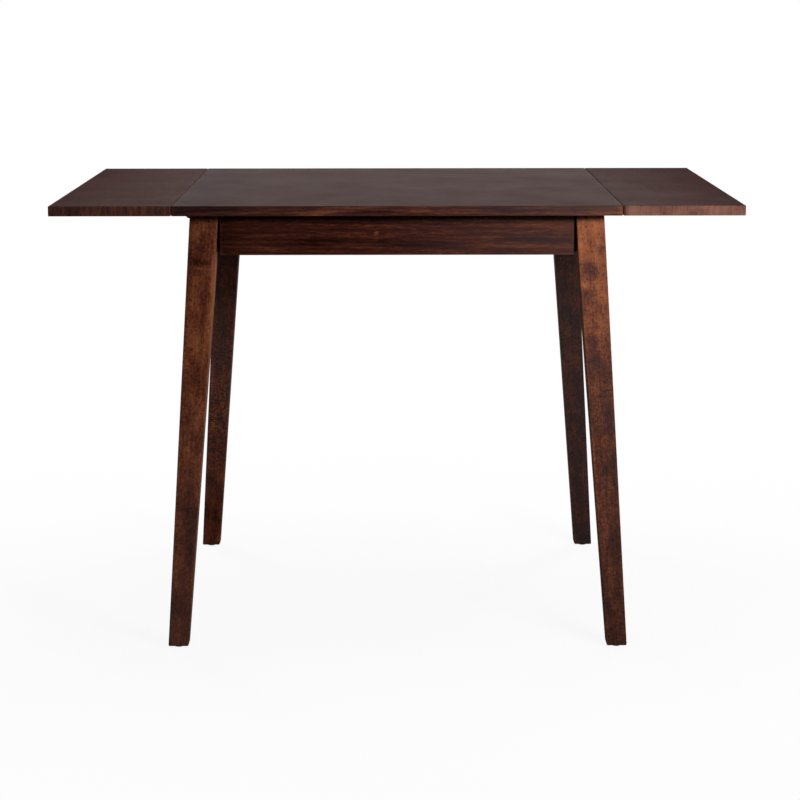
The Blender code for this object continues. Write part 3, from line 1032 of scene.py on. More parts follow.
def end_stations(start: float, stop: float, ease: float) -> tuple[Array, Array, Array]:
    """Place the rings of a board whose ends are rounded over.

    At an angle t of the rounding, from 0 on the end face to a right angle on the side, a ring lies
    ease * (1 - cos t) from the end and is drawn in by ease * (1 - sin t).

    Args:
        start: the first end.
        stop: the last end.
        ease: the rounding's radius.

    Returns:
        The rings' levels, how far each is drawn in, and their wear, which is below 0 on an end face.
    """
    turn = np.linspace(0.0, QUARTER, ARC_STEPS + 1)
    level = np.concatenate([[0.0], ease * (1.0 - np.cos(turn)), [ease + SHOULDER]])
    inset = np.concatenate([[ease + SHOULDER], ease * (1.0 - np.sin(turn)), [0.0]])
    wear = np.concatenate([[-1.0], np.ones(ARC_STEPS + 1), [0.0]])
    levels = np.concatenate([start + level, (stop - level)[::-1]])
    return levels, np.concatenate([inset, inset[::-1]]), np.concatenate([wear, wear[::-1]])


def eased_rings(
    corners: Array, levels: Array, insets: Array, end_wear: Array, ease: float
) -> tuple[Array, Array]:
    """Stack sections into rings, drawn in at the ends and rounded at the corners.

    Args:
        corners: one section for all rings, or one for each, counter-clockwise.
        levels: where each ring lies.
        insets: how far each is drawn in.
        end_wear: each ring's wear, below 0 on an end face.
        ease: the corners' radius.

    Returns:
        Rings shaped (r, n, 3), and their wear.
    """
    radius = np.maximum(ease - insets, LEAST_RADIUS)
    points, side_wear = eased_loops(inset_polygon(corners, insets), radius)
    rings = np.dstack([points, np.broadcast_to(levels[:, None], points.shape[:2])])
    wear = np.where(end_wear[:, None] < 0.0, 0.0, np.maximum(end_wear[:, None], side_wear))
    return rings, wear


def eased_board(corners: Array, start: float, stop: float, ease: float, run: Run) -> Sheet:
    """Carry a polygon along an axis, with every edge rounded over.

    Args:
        corners: the section, counter-clockwise, shaped (k, 2).
        start: where the board starts along its axis.
        stop: where it stops.
        ease: the edges' radius.
        run: the axis.

    Returns:
        The board's skin.
    """
    rings, wear = eased_rings(corners, *end_stations(start, stop, ease), ease)
    return Sheet(run.world(rings), wear)


def node_box(node: str) -> tuple[Array, Array]:
    """A CAD node's lowest and highest corners."""
    low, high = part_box(node)
    return np.array(low), np.array(high)


def node_middle(node: str) -> Array:
    """The middle of a CAD node's box."""
    low, high = node_box(node)
    return (low + high) / 2


def eased_box(node: str, ease: float) -> Sheet:
    """Fill a CAD node's box with a board along X, with every edge rounded over.

    Args:
        node: the node.
        ease: the edges' radius.

    Returns:
        The board's skin.
    """
    low, high = node_box(node)
    (y0, z0), (y1, z1) = low[1:], high[1:]
    section = np.array([(y0, z0), (y1, z0), (y1, z1), (y0, z1)])
    return eased_board(section, low[0], high[0], ease, Run.ALONG_X)


def around(sides: int) -> Array:
    """Even angles around an axis."""
    return np.linspace(0.0, FULL_TURN, sides, endpoint=False)


def polar(radius: Array, angle: Array, height: Array) -> Array:
    """Rings of points (r cos t, r sin t, z) about the Z axis."""
    x, y = radius * np.cos(angle), radius * np.sin(angle)
    return np.dstack([x, y, np.broadcast_to(height, x.shape)])


def turned(profile: Profile, sides: int = ROUND_SIDES) -> Array:
    """Turn a profile of radius and height, from the bottom to the top, about the Z axis."""
    radius, height = np.array(profile, dtype=float).T
    return polar(radius[:, None], around(sides), height[:, None])


def turned_on(node: str, profile: Profile) -> Array:
    """Turn a profile about the upright line through a CAD node's middle."""
    return turned(profile) + node_middle(node) * (1.0, 1.0, 0.0)


def aimed(rings: Array, base: Sequence[float], axis: Sequence[float]) -> Array:
    """Turn rings so that +Z points along an axis, and move their origin to a base point."""
    turn = np.array(Vector(axis).to_track_quat("Z", "Y").to_matrix())
    return rings @ turn.T + np.array(base)


def add_piece(
    name: str, sheets: Sequence[Sheet], body: str, nodes: Sequence[str] = ()
) -> bpy.types.Object:
    """Put sheets into one mesh that rides on a body.

    Args:
        name: the piece's name.
        sheets: its closed skins.
        body: the CAD body it moves with.
        nodes: the CAD nodes it stands for.

    Returns:
        The piece.
    """
    points = np.concatenate([sheet.rings.reshape(-1, 3) for sheet in sheets])
    firsts = np.cumsum([0] + [sheet.rings.size // 3 for sheet in sheets])
    faces = [face for sheet, first in zip(sheets, firsts) for face in sheet.faces(int(first))]
    mesh = bpy.data.meshes.new(name)
    mesh.from_pydata(points, [], faces)
    if sheets[0].wear is not None:
        arris = mesh.attributes.new("arris", "FLOAT", "POINT")
        wear = np.concatenate([sheet.wear.ravel() for sheet in sheets])
        arris.data.foreach_set("value", wear.astype(np.float32))
    mesh.shade_smooth()
    mesh.set_sharp_from_angle(angle=CREASE_ANGLE)
    piece = bpy.data.objects.new(name, mesh)
    bpy.context.scene.collection.objects.link(piece)
    weighted = piece.modifiers.new("even_flats", "WEIGHTED_NORMAL")
    weighted.keep_sharp = True
    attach(piece, body)
    if nodes:
        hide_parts(*nodes)
    return piece


def body_of(node: str) -> str:
    """The body that a CAD node rides on."""
    return bpy.data.objects[node]["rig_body"]


@dataclass(frozen=True)
class WoodScrew:
    """An oval-headed wood screw with a cross recess."""

    head_radius: float = 0.0031
    head_rise: float = 0.0009
    shank_radius: float = 0.0014
    shank_length: float = 0.010
    slot_half_width: float = 0.00042
    slot_half_length: float = 0.0019
    slot_depth: float = 0.0009
    slot_edge: float = 0.00016
    head_depth: float = 0.0016
    rim_depth: float = 0.0001
    tip_radius: float = 0.0002
    taper_share: float = 0.8
    crown_radius: float = 0.0001
    head_rings: int = 12

    def skin(self, base: Sequence[float], axis: Sequence[float]) -> Sheet:
        """Build the screw with its head's rim on a surface.

        The head is a dome of height rise * (1 - (r / radius) squared). Each arm of the cross takes
        depth off it where the point lies within the arm's half width and half length.

        Args:
            base: the middle of the head's rim.
            axis: where the head faces.

        Returns:
            The skin, from the shank's tip to the middle of the head.
        """
        radius = np.linspace(self.head_radius, self.crown_radius, self.head_rings)
        height = self.head_rise * (1.0 - (radius / self.head_radius) ** 2)
        shank = [
            (self.tip_radius, -self.shank_length),
            (self.shank_radius, -self.shank_length * self.taper_share),
            (self.shank_radius, -self.head_depth),
            (self.head_radius, -self.rim_depth),
        ]
        rings = turned(np.concatenate([shank, np.stack([radius, height], axis=-1)]), SCREW_SIDES)
        x, y = np.abs(rings[..., 0]), np.abs(rings[..., 1])
        arms = np.maximum(self.arm(x, y), self.arm(y, x))
        arms[: len(shank)] = 0.0
        rings[..., 2] -= self.slot_depth * arms
        return Sheet(aimed(rings, base, axis))

    def arm(self, wide: Array, long: Array) -> Array:
        """How far points lie inside one arm of the cross, from 0 to 1."""
        inside = np.minimum(self.slot_half_width - wide, self.slot_half_length - long)
        return np.clip(inside / self.slot_edge, 0.0, 1.0)


FRAME_SCREW = WoodScrew(head_radius=0.0038, head_rise=0.0011, shank_radius=0.0019, shank_length=0.030)


# Sub-assemblies


@dataclass
class SubAssembly(ABC):
    """A group of pieces that are built and then dressed."""

    pieces: dict[str, bpy.types.Object] = field(default_factory=dict, init=False)

    @abstractmethod
    def build(self) -> None:
        """Build the group's meshes."""

    @abstractmethod
    def dress(self) -> None:
        """Give the group's pieces their finishes."""

    def stand_in(self, node: str, name: str, slot: Slot, sheet: Sheet) -> None:
        """Add a piece with a skin in the place of a CAD node."""
        self.pieces[name] = add_piece(name, [sheet], body_of(node), [node])

    def drive(
        self, name: str, screw: WoodScrew, places: Sequence[Sequence[float]], axis: Sequence[float],
        node: str, slot: Slot,
    ) -> None:
        """Drive a group of wood screws, which ride with a CAD node.

        Args:
            name: the group's name.
            screw: the screw.
            places: where the heads sit.
            axis: where the heads face.
            node: the node that they hold.
            slot: not used.
        """
        sheets = [screw.skin(place, axis) for place in places]
        self.pieces[name] = add_piece(name, sheets, body_of(node))

    def coat(self, name: str, material: Material) -> None:
        """Give a piece its material."""
        self.pieces[name].data.materials.append(material)

    def coat_wood(
        self, name: str, finish: WoodFinish, plank: Plank, turn: Triple, thickness: float = 1.0
    ) -> None:
        """Give a board its own wood.

        Args:
            name: the piece's name.
            finish: the stain and lacquer.
            plank: how the board was cut.
            turn: the board's own axes as an Euler turn.
            thickness: a panel's, which tells its faces from its edges. By default a board is all edge.
        """
        points = np.array(self.pieces[name].bound_box)
        centre = (points.min(axis=0) + points.max(axis=0)) / 2
        self.coat(name, finish.material(f"{name}_wood", plank, centre.tolist(), turn, thickness / 2))

    def report(self) -> None:
        """Log each piece and its size in triangles."""
        for name, piece in self.pieces.items():
            piece.data.calc_loop_triangles()
            LOG.info("%s: %d triangles", name, len(piece.data.loop_triangles))


@dataclass
class TopPanels(SubAssembly):
    """The fixed centre panel and the two leaves."""

    thickness: float = 0.0165
    ease: float = 0.0012

    def build(self) -> None:
        """Carry each panel's section along X, with every edge eased."""
        self.stand_in("centre_top", "centre_panel", Slot.TOP, eased_box("centre_top", self.ease))
        for side in Side:
            leaf = f"{side.word}_leaf"
            self.stand_in(leaf, f"{leaf}_panel", Slot.TOP, eased_box(leaf, self.ease))

    def dress(self) -> None:
        """Run the centre's grain along the table, and the leaves' grain along the joint."""
        for name, finish, plank, grain in (
            ("centre_panel", WALNUT_TOP, CENTRE_PLANK, Grain.X_FLAT),
            ("left_leaf_panel", WALNUT_LEAF, LEFT_LEAF_PLANK, Grain.Y_FLAT),
            ("right_leaf_panel", PALE_AND_PAINTED_LIGHT_LEAF, RIGHT_LEAF_PLANK, Grain.Y_FLAT),
        ):
            self.coat_wood(name, finish, plank, grain.value, self.thickness)


@dataclass
class LegSet(SubAssembly):
    """Four splayed legs, straight down past the aprons and tapered on the inside below them."""

    top_width: float = 0.0465
    top_depth: float = 0.048
    foot_width: float = 0.034
    foot_depth: float = 0.032
    knee_drop: float = 0.095
    knee_blend: float = 0.020
    corner_cut: float = 0.012
    least_cut: float = 0.0015
    ease: float = 0.0014
    foot_round: float = 0.003
    top_sharpness: float = 3.0
    stations: int = 40

    def build(self) -> None:
        """Carry the leg's section from its top to its foot at each corner."""
        for corner, side, end in table_corners():
            node = f"{corner}_leg"
            self.stand_in(node, f"{corner}_tapered_leg", Slot.LEG, self.leg(node, side, end))

    def leg(self, node: str, side: Side, end: End) -> Sheet:
        """Work out one leg's skin.

        At a drop d below the top, the outer corner has moved out by the splay times d / length. The
        width and depth stay as they are down to the knee, and then shrink straight to the foot's. The
        bend there is softened, because the drop past the knee is blend * ln(1 + e to the power of
        (d - knee) / blend). The inner corner is cut at 45 degrees where it faces the corner block. The
        top's edge is sharper than the foot's. The leg is drawn at the rear right corner, and mirrored
        to its own.

        Args:
            node: the leg's CAD node.
            side: left or right.
            end: front or rear.

        Returns:
            The skin.
        """
        low, high = node_box(node)
        length = high[2] - low[2]
        top = np.array([self.top_width, self.top_depth])
        foot = np.array([self.foot_width, self.foot_depth])
        levels, insets, end_wear = end_stations(0.0, length, self.foot_round)
        split = len(levels) // 2
        middle = np.linspace(levels[split - 1], levels[split], self.stations)[1:-1]
        levels = np.insert(levels, split, middle)
        insets[:split] /= self.top_sharpness
        insets, end_wear = (np.insert(row, split, np.zeros_like(middle)) for row in (insets, end_wear))
        drop = self.knee_blend * np.logaddexp(0.0, (levels - self.knee_drop) / self.knee_blend)
        taper = drop / (length - self.knee_drop)
        outer = (high[:2] - low[:2] - top) * (levels / length - 1.0)[:, None]
        inner = outer - (top + (foot - top) * taper[:, None])
        cut = np.maximum(self.corner_cut - (inner.sum(axis=1) - inner[0].sum()), self.least_cut)
        (out_x, out_y), (in_x, in_y) = outer.T, inner.T
        corners = np.array(
            [(in_x + cut, in_y), (out_x, in_y), (out_x, out_y), (in_x, out_y), (in_x, in_y + cut)]
        )
        rings, wear = eased_rings(np.moveaxis(corners, -1, 0), -levels, insets, end_wear, self.ease)
        signs = np.array([side.sign, end.sign, 1.0])
        rings = (rings + np.maximum(low * signs, high * signs)) * signs
        if side.sign * end.sign > 0:
            rings, wear = rings[::-1], wear[::-1]
        return Sheet(rings, wear)

    def dress(self) -> None:
        """Run each leg's grain down its length."""
        for corner, side, end in table_corners():
            turn = self.grain(f"{corner}_leg", side, end)
            self.coat_wood(f"{corner}_tapered_leg", WALNUT_LEG, LEG_PLANKS[corner], turn)

    def grain(self, node: str, side: Side, end: End) -> Triple:
        """The turn that runs a leg's grain from its top to its foot.

        Args:
            node: the leg's CAD node.
            side: left or right.
            end: front or rear.

        Returns:
            An Euler turn whose X axis points down the leg, and whose Y axis lies along the table.
        """
        low, high = node_box(node)
        spread = high - low
        lean_x = side.sign * (spread[0] - (self.top_width + self.foot_width) / 2)
        lean_y = end.sign * (spread[1] - (self.top_depth + self.foot_depth) / 2)
        down = Vector((lean_x, lean_y, -spread[2])).normalized()
        along = Vector((1.0, 0.0, 0.0))
        across = (along - down * along.dot(down)).normalized()
        return tuple(Matrix((down, across, down.cross(across))).transposed().to_euler())


@dataclass
class ApronFrame(SubAssembly):
    """The four aprons and the two guide rails, notched for the leaf supports."""

    ease: float = 0.0010
    notch_width: float = 0.023
    notch_depth: float = 0.0207
    screw_reach: float = 0.255
    screw: WoodScrew = FRAME_SCREW

    def build(self) -> None:
        """Carry every board along X: the long aprons' sections and the notched boards' outlines."""
        for end in End:
            apron = f"{end.word}_apron"
            self.stand_in(apron, f"{apron}_board", Slot.APRON, eased_box(apron, self.ease))
        for side in Side:
            apron, rail = f"{side.word}_apron", f"{side.word}_guide_rail"
            self.stand_in(apron, f"{apron}_board", Slot.APRON, self.notched(apron, side))
            self.stand_in(rail, f"{side.word}_guide_board", Slot.INNER, self.notched(rail, side))
            x, bottom = node_middle(rail)[0], node_box(rail)[0][2]
            places = [(x, step * self.screw_reach, bottom) for step in (-1, 0, 1)]
            self.drive(f"{side.word}_rail_screws", self.screw, places, DOWN, rail, Slot.FIXING)

    def notched(self, node: str, side: Side) -> Sheet:
        """Carry a board's side view along X: a strip notched in its top edge for each leaf support.

        Args:
            node: the board's CAD node.
            side: left or right, which sets where the supports run.

        Returns:
            The skin.
        """
        low, high = node_box(node)
        bottom = high[2] - self.notch_depth
        outline = [(low[1], low[2]), (high[1], low[2]), (high[1], high[2])]
        for end in (End.REAR, End.FRONT):
            middle = node_middle(f"{side.word}_{end.word}_loper")[1]
            far, near = middle + self.notch_width / 2, middle - self.notch_width / 2
            outline += [(far, high[2]), (far, bottom), (near, bottom), (near, high[2])]
        outline.append((low[1], high[2]))
        return eased_board(np.array(outline), low[0], high[0], self.ease, Run.ALONG_X)

    def dress(self) -> None:
        """Run the grain along every board, and plate the screws."""
        for name, finish, plank, grain in (
            ("front_apron", WALNUT_APRON, FRONT_APRON_PLANK, Grain.X_ON_EDGE),
            ("rear_apron", WALNUT_APRON, Plank(seed=22.0), Grain.X_ON_EDGE),
            ("left_apron", WALNUT_APRON, Plank(seed=23.0), Grain.Y_ON_EDGE),
            ("right_apron", WALNUT_APRON, Plank(seed=24.0), Grain.Y_ON_EDGE),
            ("left_guide", PLAIN_INNER, Plank(seed=25.0), Grain.Y_ON_EDGE),
            ("right_guide", PLAIN_INNER, Plank(seed=26.0), Grain.Y_ON_EDGE),
        ):
            self.coat_wood(f"{name}_board", finish, plank, grain.value)
        steel = SteelFinish().material("rail_screw_zinc")
        for side in Side:
            self.coat(f"{side.word}_rail_screws", steel)


@dataclass
class LeafSupports(SubAssembly):
    """The four pull-out supports, called lopers, and their stop dowels."""

    ease: float = 0.0009
    nose_cut: float = 0.008
    lead_in: float = 0.0015
    stop_ease: float = 0.0008
    first_seed: float = 32.0
    dowel_heart: tuple[float, float] = (0.0, 0.02)

    def build(self) -> None:
        """Build each loper with its cut nose, and its dowel."""
        for side in Side:
            for end in End:
                name = f"{side.word}_{end.word}"
                loper, stop = f"{name}_loper", f"{name}_loper_stop"
                self.stand_in(loper, f"{name}_support_bar", Slot.INNER, self.bar(loper, side))
                self.stand_in(stop, f"{name}_stop_dowel", Slot.DOWEL, self.dowel(stop))

    def bar(self, node: str, side: Side) -> Sheet:
        """Carry a loper's side view along Y: its nose is cut up from below.

        Args:
            node: the loper's CAD node.
            side: left or right, which sets where the nose points.

        Returns:
            The skin.
        """
        low, high = node_box(node)
        tail, tip = (low[0], high[0]) if side.sign > 0 else (high[0], low[0])
        section = np.array(
            [
                (low[2], tail),
                (low[2], tip - side.sign * self.nose_cut),
                (low[2] + self.nose_cut, tip),
                (high[2] - self.lead_in, tip),
                (high[2], tip - side.sign * self.lead_in),
                (high[2], tail),
            ]
        )
        if side.sign > 0:
            section = section[::-1]
        return eased_board(section, low[1], high[1], self.ease, Run.ALONG_Y)

    def dowel(self, node: str) -> Sheet:
        """Turn a stop dowel whose lower end is rounded over as a board's end is.

        Args:
            node: the dowel's CAD node.

        Returns:
            The skin.
        """
        low, high = node_box(node)
        radius = (high[0] - low[0]) / 2
        turn = np.linspace(0.0, QUARTER, ARC_STEPS + 1)
        rim = radius - self.stop_ease * (1.0 - np.sin(turn))
        lift = low[2] + self.stop_ease * (1.0 - np.cos(turn))
        profile = np.concatenate([np.stack([rim, lift], axis=-1), [(radius, high[2])]])
        rings = turned_on(node, profile)
        return Sheet(rings, np.zeros(rings.shape[:2]))

    def dress(self) -> None:
        """Run the grain along each bar and each dowel."""
        for number, name in enumerate(self.pieces):
            plank = Plank(seed=self.first_seed + number)
            if name.endswith("bar"):
                self.coat_wood(name, PLAIN_INNER, plank, Grain.X_FLAT.value)
            else:
                plank = replace(plank, heart=self.dowel_heart)
                self.coat_wood(name, BARE_DOWEL, plank, Grain.UPRIGHT.value)


@dataclass
class CornerBracing(SubAssembly):
    """At each corner, a block across the aprons with its hanger bolt, washer, nut and wood screws."""

    ease: float = 0.0012
    block_thickness: float = 0.022
    bolt_radius: float = 0.004
    thread_pitch: float = 0.00125
    thread_depth: float = 0.0006
    thread_rows: int = 8
    washer_ease: float = 0.0003
    nut_flats: float = 0.013
    nut_rim_share: float = 0.97
    nut_sides: int = 48
    bore_gap: float = 0.0003
    screw_offset: float = 0.030
    screw: WoodScrew = replace(FRAME_SCREW, shank_length=0.026)
    first_seed: float = 41.0

    def build(self) -> None:
        """Build the four corners."""
        for corner, side, end in table_corners():
            outward = np.array([side.sign, end.sign, 0.0]) / DIAGONAL
            block = f"{corner}_corner_block"
            self.stand_in(block, f"{corner}_brace_block", Slot.INNER, self.block(block, side, end))
            for part, name, shape in (
                ("hanger_bolt", "threaded_bolt", self.bolt),
                ("bolt_washer", "round_washer", self.washer),
                ("bolt_nut", "hex_nut", self.nut),
            ):
                node = f"{corner}_{part}"
                self.stand_in(node, f"{corner}_{name}", Slot.FIXING, shape(node, outward))
            along = np.array([-outward[1], outward[0], 0.0])
            places = [node_middle(block) + along * step * self.screw_offset for step in (-1, 1)]
            self.drive(f"{corner}_block_screws", self.screw, places, -outward, block, Slot.FIXING)

    def block(self, node: str, side: Side, end: End) -> Sheet:
        """Carry a corner block's plan upwards: a strip at 45 degrees between the two aprons.

        Args:
            node: the block's CAD node.
            side: left or right.
            end: front or rear.

        Returns:
            The skin.
        """
        low, high = node_box(node)
        signs = np.array([side.sign, end.sign])
        reach = np.maximum(low[:2] * signs, high[:2] * signs)
        near = np.minimum(low[:2] * signs, high[:2] * signs)
        inner_sum = reach[0] + near[1]
        outer_sum = inner_sum + DIAGONAL * self.block_thickness
        plan = signs * np.array(
            [
                (reach[0], inner_sum - reach[0]),
                (reach[0], outer_sum - reach[0]),
                (outer_sum - reach[1], reach[1]),
                (inner_sum - reach[1], reach[1]),
            ]
        )
        if side.sign * end.sign < 0:
            plan = plan[::-1]
        return eased_board(plan, low[2], high[2], self.ease, Run.ALONG_Z)

    def bolt(self, node: str, outward: Array) -> Sheet:
        """A threaded rod: its radius falls and rises with the thread as it goes round.

        The radius at a height z and an angle t is the outer radius less the thread's depth times a
        triangle wave of z / pitch - t / (2 pi), limited by a cone at each end.

        Args:
            node: the bolt's CAD node.
            outward: the axis, into the leg.

        Returns:
            The skin.
        """
        low, high = node_box(node)
        length = (high[0] - low[0]) * DIAGONAL - 2 * self.bolt_radius
        rows = int(length / self.thread_pitch * self.thread_rows)
        height = np.linspace(-length / 2, length / 2, rows)[:, None]
        angle = around(SCREW_SIDES)
        phase = height / self.thread_pitch - angle / FULL_TURN
        wave = 2 * np.abs(phase - np.floor(phase) - 0.5)
        from_end = length / 2 - np.abs(height)
        cone = self.bolt_radius - self.thread_pitch + from_end
        radius = np.minimum(self.bolt_radius - self.thread_depth * wave, cone)
        return Sheet(aimed(polar(radius, angle, height), node_middle(node), outward))

    def washer(self, node: str, outward: Array) -> Sheet:
        """Turn a flat washer with softened rims, as a ring round its bore.

        Args:
            node: the washer's CAD node.
            outward: the axis.

        Returns:
            The skin.
        """
        low, high = node_box(node)
        radius = (high[2] - low[2]) / 2
        half = ((high[0] - low[0]) * DIAGONAL - 2 * radius) / 2
        bore, ease = self.bolt_radius + self.bore_gap, self.washer_ease
        profile = [
            (bore, -half), (radius - ease, -half), (radius, -half + ease),
            (radius, half - ease), (radius - ease, half), (bore, half),
        ]
        return Sheet(aimed(turned(profile), node_middle(node), outward), looped=True)

    def nut(self, node: str, outward: Array) -> Sheet:
        """A six-sided nut whose corners are turned off at both ends.

        At an angle t the side lies flats / 2 / cos(t) from the axis, with t measured from the middle
        of the nearest flat. A cone takes off the corners: its edge drops by the side's distance
        beyond the flats times the tangent of 30 degrees.

        Args:
            node: the nut's CAD node.
            outward: the axis.

        Returns:
            The skin.
        """
        low, high = node_box(node)
        height = (high[0] - low[0]) * DIAGONAL - self.nut_flats
        angle = around(self.nut_sides)
        sixth = FULL_TURN / 6
        off_flat = np.mod(angle + sixth / 2, sixth) - sixth / 2
        side = self.nut_flats / 2 / np.cos(off_flat)
        drop = (side - self.nut_flats / 2) * math.tan(sixth / 2)
        bore = np.full_like(angle, self.bolt_radius + self.bore_gap)
        rim = np.full_like(angle, self.nut_flats / 2 * self.nut_rim_share)
        half = np.full_like(angle, height / 2)
        radius = np.stack([bore, rim, side, side, rim, bore])
        level = np.stack([-half, -half, drop - half, half - drop, half, half])
        return Sheet(aimed(polar(radius, angle, level), node_middle(node), outward), looped=True)

    def dress(self) -> None:
        """Stain the blocks and plate the fixings."""
        steel = SteelFinish().material("fixing_zinc")
        for number, (corner, side, end) in enumerate(table_corners()):
            turn = (QUARTER, 0.0, -side.sign * end.sign * QUARTER / 2)
            plank = Plank(seed=self.first_seed + number)
            self.coat_wood(f"{corner}_brace_block", PLAIN_INNER, plank, turn)
            for fixing in ("threaded_bolt", "round_washer", "hex_nut", "block_screws"):
                self.coat(f"{corner}_{fixing}", steel)


@dataclass
class FootGlides(SubAssembly):
    """The button under each foot."""

    flat_radius: float = 0.0055
    rim: float = 0.0010
    rim_ease: float = 0.0003
    shank_radius: float = 0.002
    seat_gap: float = 0.0003
    dome_rings: int = 9

    def build(self) -> None:
        """Turn each glide: a low dome with a flat bottom, and its shank up into the leg.

        At an angle t from 0 to a right angle, the dome's radius is flat + (radius - flat) * sin t, and
        its height is rise * (1 - cos t).
        """
        for corner, _, _ in table_corners():
            node = f"{corner}_foot_glide"
            low, high = node_box(node)
            top = node_box(f"{corner}_leg")[0][2] - self.seat_gap
            radius = (high[0] - low[0]) / 2
            turn = np.linspace(0.0, QUARTER, self.dome_rings)
            dome_r = self.flat_radius + (radius - self.flat_radius) * np.sin(turn)
            dome_z = low[2] + (top - low[2] - self.rim) * (1.0 - np.cos(turn))
            shank = [
                (radius, top - self.rim_ease),
                (radius - self.rim_ease, top),
                (self.shank_radius, top),
                (self.shank_radius, high[2]),
            ]
            profile = np.concatenate([np.stack([dome_r, dome_z], axis=-1), shank])
            self.stand_in(node, f"{corner}_nail_glide", Slot.GLIDE, Sheet(turned_on(node, profile)))

    def dress(self) -> None:
        """Mould the glides in black plastic."""
        plastic = GlideFinish().material("black_glide_plastic")
        for name in self.pieces:
            self.coat(name, plastic)


@dataclass
class LeafHinges(SubAssembly):
    """Wood screws in the hinge flaps, and the finish of the flaps and pins."""

    rows: tuple[str, ...] = ("front", "middle", "rear")
    flap_thickness: float = 0.0013
    edge_inset: float = 0.007
    pitch: float = 0.016
    screw: WoodScrew = WoodScrew()
    plate: SteelFinish = SteelFinish(roughness=0.42)
    screw_steel: SteelFinish = SteelFinish(bright=(0.52, 0.50, 0.46), roughness=0.32)

    def hinges(self) -> Iterator[tuple[Side, str]]:
        """Each hinge's side, and its row along the joint."""
        return ((side, row) for side in Side for row in self.rows)

    def build(self) -> None:
        """Put three screws in every flap."""
        for side, row in self.hinges():
            for flap, outer in (("fixed", -1.0), ("moving", 1.0)):
                node = f"{side.word}_{row}_hinge_{flap}_flap"
                low, high = node_box(node)
                away = side.sign * outer
                edge = high[0] if away > 0 else low[0]
                x, z = edge - away * self.edge_inset, high[2] - self.flap_thickness
                y = node_middle(node)[1]
                places = [(x, y + step * self.pitch, z) for step in (-1, 0, 1)]
                name = f"{side.word}_{row}_{flap}_flap_screws"
                self.drive(name, self.screw, places, DOWN, node, Slot.HINGE)

    def dress(self) -> None:
        """Plate the flaps, pins and screws."""
        plate = self.plate.material("hinge_zinc")
        screws = self.screw_steel.material("screw_zinc")
        for name in self.pieces:
            self.coat(name, screws)
        for side, row in self.hinges():
            for part in ("fixed_flap", "moving_flap", "pin"):
                materials = bpy.data.objects[f"{side.word}_{row}_hinge_{part}"].data.materials
                materials.clear()
                materials.append(plate)


# Studio


@dataclass(frozen=True)
class Viewpoint:
    """Where the photograph was taken from."""

    place: Triple = (-0.00514, -4.08309, 1.10948)
    pitch_down: float = 0.181811
    yaw: float = 0.0025865
    roll: float = -0.0011875
    lens: float = 102.484
    sensor: float = 36.0

    def set_up(self) -> None:
        """Create the camera and make it the scene's own."""
        data = bpy.data.cameras.new("photo_camera")
        data.lens = self.lens
        data.sensor_width = self.sensor
        camera = bpy.data.objects.new("photo_camera", data)
        turn = Matrix.Rotation(-self.yaw, 4, "Z")
        turn = turn @ Matrix.Rotation(QUARTER - self.pitch_down, 4, "X")
        turn = turn @ Matrix.Rotation(self.roll, 4, "Z")
        camera.matrix_world = Matrix.Translation(self.place) @ turn
        bpy.context.scene.collection.objects.link(camera)
        bpy.context.scene.camera = camera


@dataclass(frozen=True)
class Lamp:
    """A soft rectangular lamp that points at a spot."""

    name: str
    place: Triple
    target: Triple
    width: float
    height: float
    power: float
    spread: float = 180.0
    mirrored: bool = True

    def set_up(self) -> None:
        """Create the lamp."""
        data = bpy.data.lights.new(self.name, "AREA")
        data.shape = "RECTANGLE"
        data.size = self.width
        data.size_y = self.height
        data.energy = self.power
        data.spread = math.radians(self.spread)
        lamp = bpy.data.objects.new(self.name, data)
        lamp.location = self.place
        aim = Vector(self.target) - Vector(self.place)
        lamp.rotation_euler = aim.to_track_quat("-Z", "Y").to_euler()
        lamp.visible_camera = False
        lamp.visible_glossy = self.mirrored
        bpy.context.scene.collection.objects.link(lamp)


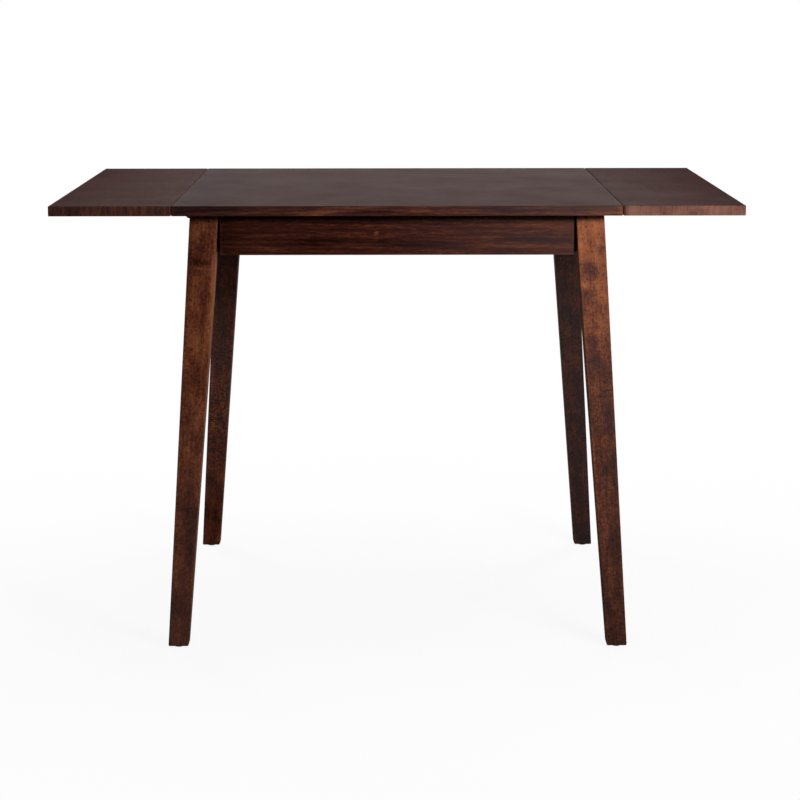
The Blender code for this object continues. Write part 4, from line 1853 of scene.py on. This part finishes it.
@dataclass
class Studio:
    """A plain floor under soft light, with a white background."""

    ambient: float = 0.16
    white: Colour = (1.0, 1.0, 1.0)
    floor_rings: tuple[float, ...] = (LEAST_RADIUS, 0.5, 1.0, 2.0, 5.0, 15.0, 60.0)
    floor_sides: int = 96
    floor_grey: Colour = (0.30, 0.30, 0.30)
    floor_pale: Colour = (0.95, 0.95, 0.95)
    shadow_share: float = 0.10
    shadow_fade: tuple[float, float] = (0.64, 1.6)
    lamps: tuple[Lamp, ...] = (
        Lamp(
            "key_lamp", (1.10, -1.60, 1.09), (0.35, -0.33, 0.82),
            width=0.7, height=0.24, power=9.5, spread=96.0, mirrored=False,
        ),
        Lamp(
            "fill_lamp", (-1.30, -2.60, 1.38), (-0.20, -0.30, 0.80),
            width=0.9, height=0.4, power=1.5, spread=80.0,
        ),
        Lamp("top_lamp", (0.0, 0.35, 3.0), (0.0, 0.0, 0.7), width=2.2, height=2.0, power=38.0),
        Lamp("left_rim_lamp", (-1.6, 2.3, 1.2), (0.0, 0.2, 0.6), width=0.8, height=0.8, power=22.0),
        Lamp("right_rim_lamp", (1.6, 2.3, 1.2), (0.0, 0.2, 0.6), width=0.8, height=0.8, power=22.0),
    )

    def set_up(self) -> None:
        """Create the floor, the world, the lamps and the camera."""
        self.lay_floor()
        self.light_world()
        for lamp in self.lamps:
            lamp.set_up()
        Viewpoint().set_up()
        bpy.context.scene.view_settings.view_transform = "Standard"

    @staticmethod
    def seen(graph: Graph) -> Link:
        """Find the rays that show the background: from the camera, by reflection or through glass.

        Args:
            graph: the graph.

        Returns:
            1 for such rays, 0 for others.
        """
        names = ("Is Camera Ray", "Is Glossy Ray", "Is Transmission Ray")
        camera, glossy, through = graph.outputs(graph.node("ShaderNodeLightPath"), names)
        return graph.math("MAXIMUM", graph.math("MAXIMUM", camera, glossy), through)

    def light_world(self) -> None:
        """Light the scene evenly, and show white behind it."""
        world = bpy.data.worlds.new("studio_world")
        world.use_nodes = True
        graph = Graph(world.node_tree)
        background = world.node_tree.nodes["Background"]
        strength = self.seen(graph) * (1.0 - self.ambient) + self.ambient
        graph.feed(background.inputs["Color"], self.white)
        graph.feed(background.inputs["Strength"], strength)
        bpy.context.scene.world = world

    def lay_floor(self) -> None:
        """Lay a round floor, facing up, that shows white and keeps a faint shadow near the table."""
        rings = turned([(radius, 0.0) for radius in self.floor_rings], self.floor_sides)
        without_ends = Sheet(rings).faces(0)[:-2]
        mesh = bpy.data.meshes.new("studio_floor")
        mesh.from_pydata(rings.reshape(-1, 3), [], [face[::-1] for face in without_ends])
        floor = bpy.data.objects.new("studio_floor", mesh)
        bpy.context.scene.collection.objects.link(floor)
        mesh.materials.append(self.floor_material())

    def floor_material(self) -> Material:
        """Make the floor's material.

        Where it is seen it is white, with a share of real shading near the table. To other light it is
        a soft grey, and from below it is clear.

        Returns:
            The material.
        """
        skin = Skin("pale_floor")
        graph = skin.graph
        tree = skin.material.node_tree
        tree.nodes.remove(skin.shader)
        length = {"operation": "LENGTH"}
        distance = graph.node("ShaderNodeVectorMath", length, {0: graph.place()}, "Value")
        near = 1.0 - graph.rise(distance, *self.shadow_fade)
        glow = graph.node("ShaderNodeEmission", {}, {"Color": self.white, "Strength": 1.0})
        lit = graph.node("ShaderNodeBsdfDiffuse", {}, {"Color": self.floor_pale})
        grey = graph.node("ShaderNodeBsdfDiffuse", {}, {"Color": self.floor_grey})
        shown = graph.node("ShaderNodeMixShader", {}, {0: near * self.shadow_share, 1: glow, 2: lit})
        above = graph.node("ShaderNodeMixShader", {}, {0: self.seen(graph), 1: grey, 2: shown})
        clear = graph.node("ShaderNodeBsdfTransparent")
        below = graph.node("ShaderNodeNewGeometry", output="Backfacing")
        whole = graph.node("ShaderNodeMixShader", {}, {0: below, 1: above, 2: clear})
        graph.feed(tree.nodes["Material Output"].inputs["Surface"], whole)
        return skin.material


def clear_scene() -> None:
    """Remove what the scene starts with."""
    for thing in list(bpy.data.objects):
        bpy.data.objects.remove(thing, do_unlink=True)


def main() -> None:
    """Load the frame, build and dress each sub-assembly, and set up the studio."""
    logging.basicConfig(level=logging.INFO, format="%(name)s %(message)s")
    clear_scene()
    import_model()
    assemblies: tuple[SubAssembly, ...] = (
        TopPanels(),
        LegSet(),
        ApronFrame(),
        LeafSupports(),
        CornerBracing(),
        FootGlides(),
        LeafHinges(),
    )
    for assembly in assemblies:
        assembly.build()
        assembly.dress()
        assembly.report()
    Studio().set_up()


if __name__ == "__main__":
    main()
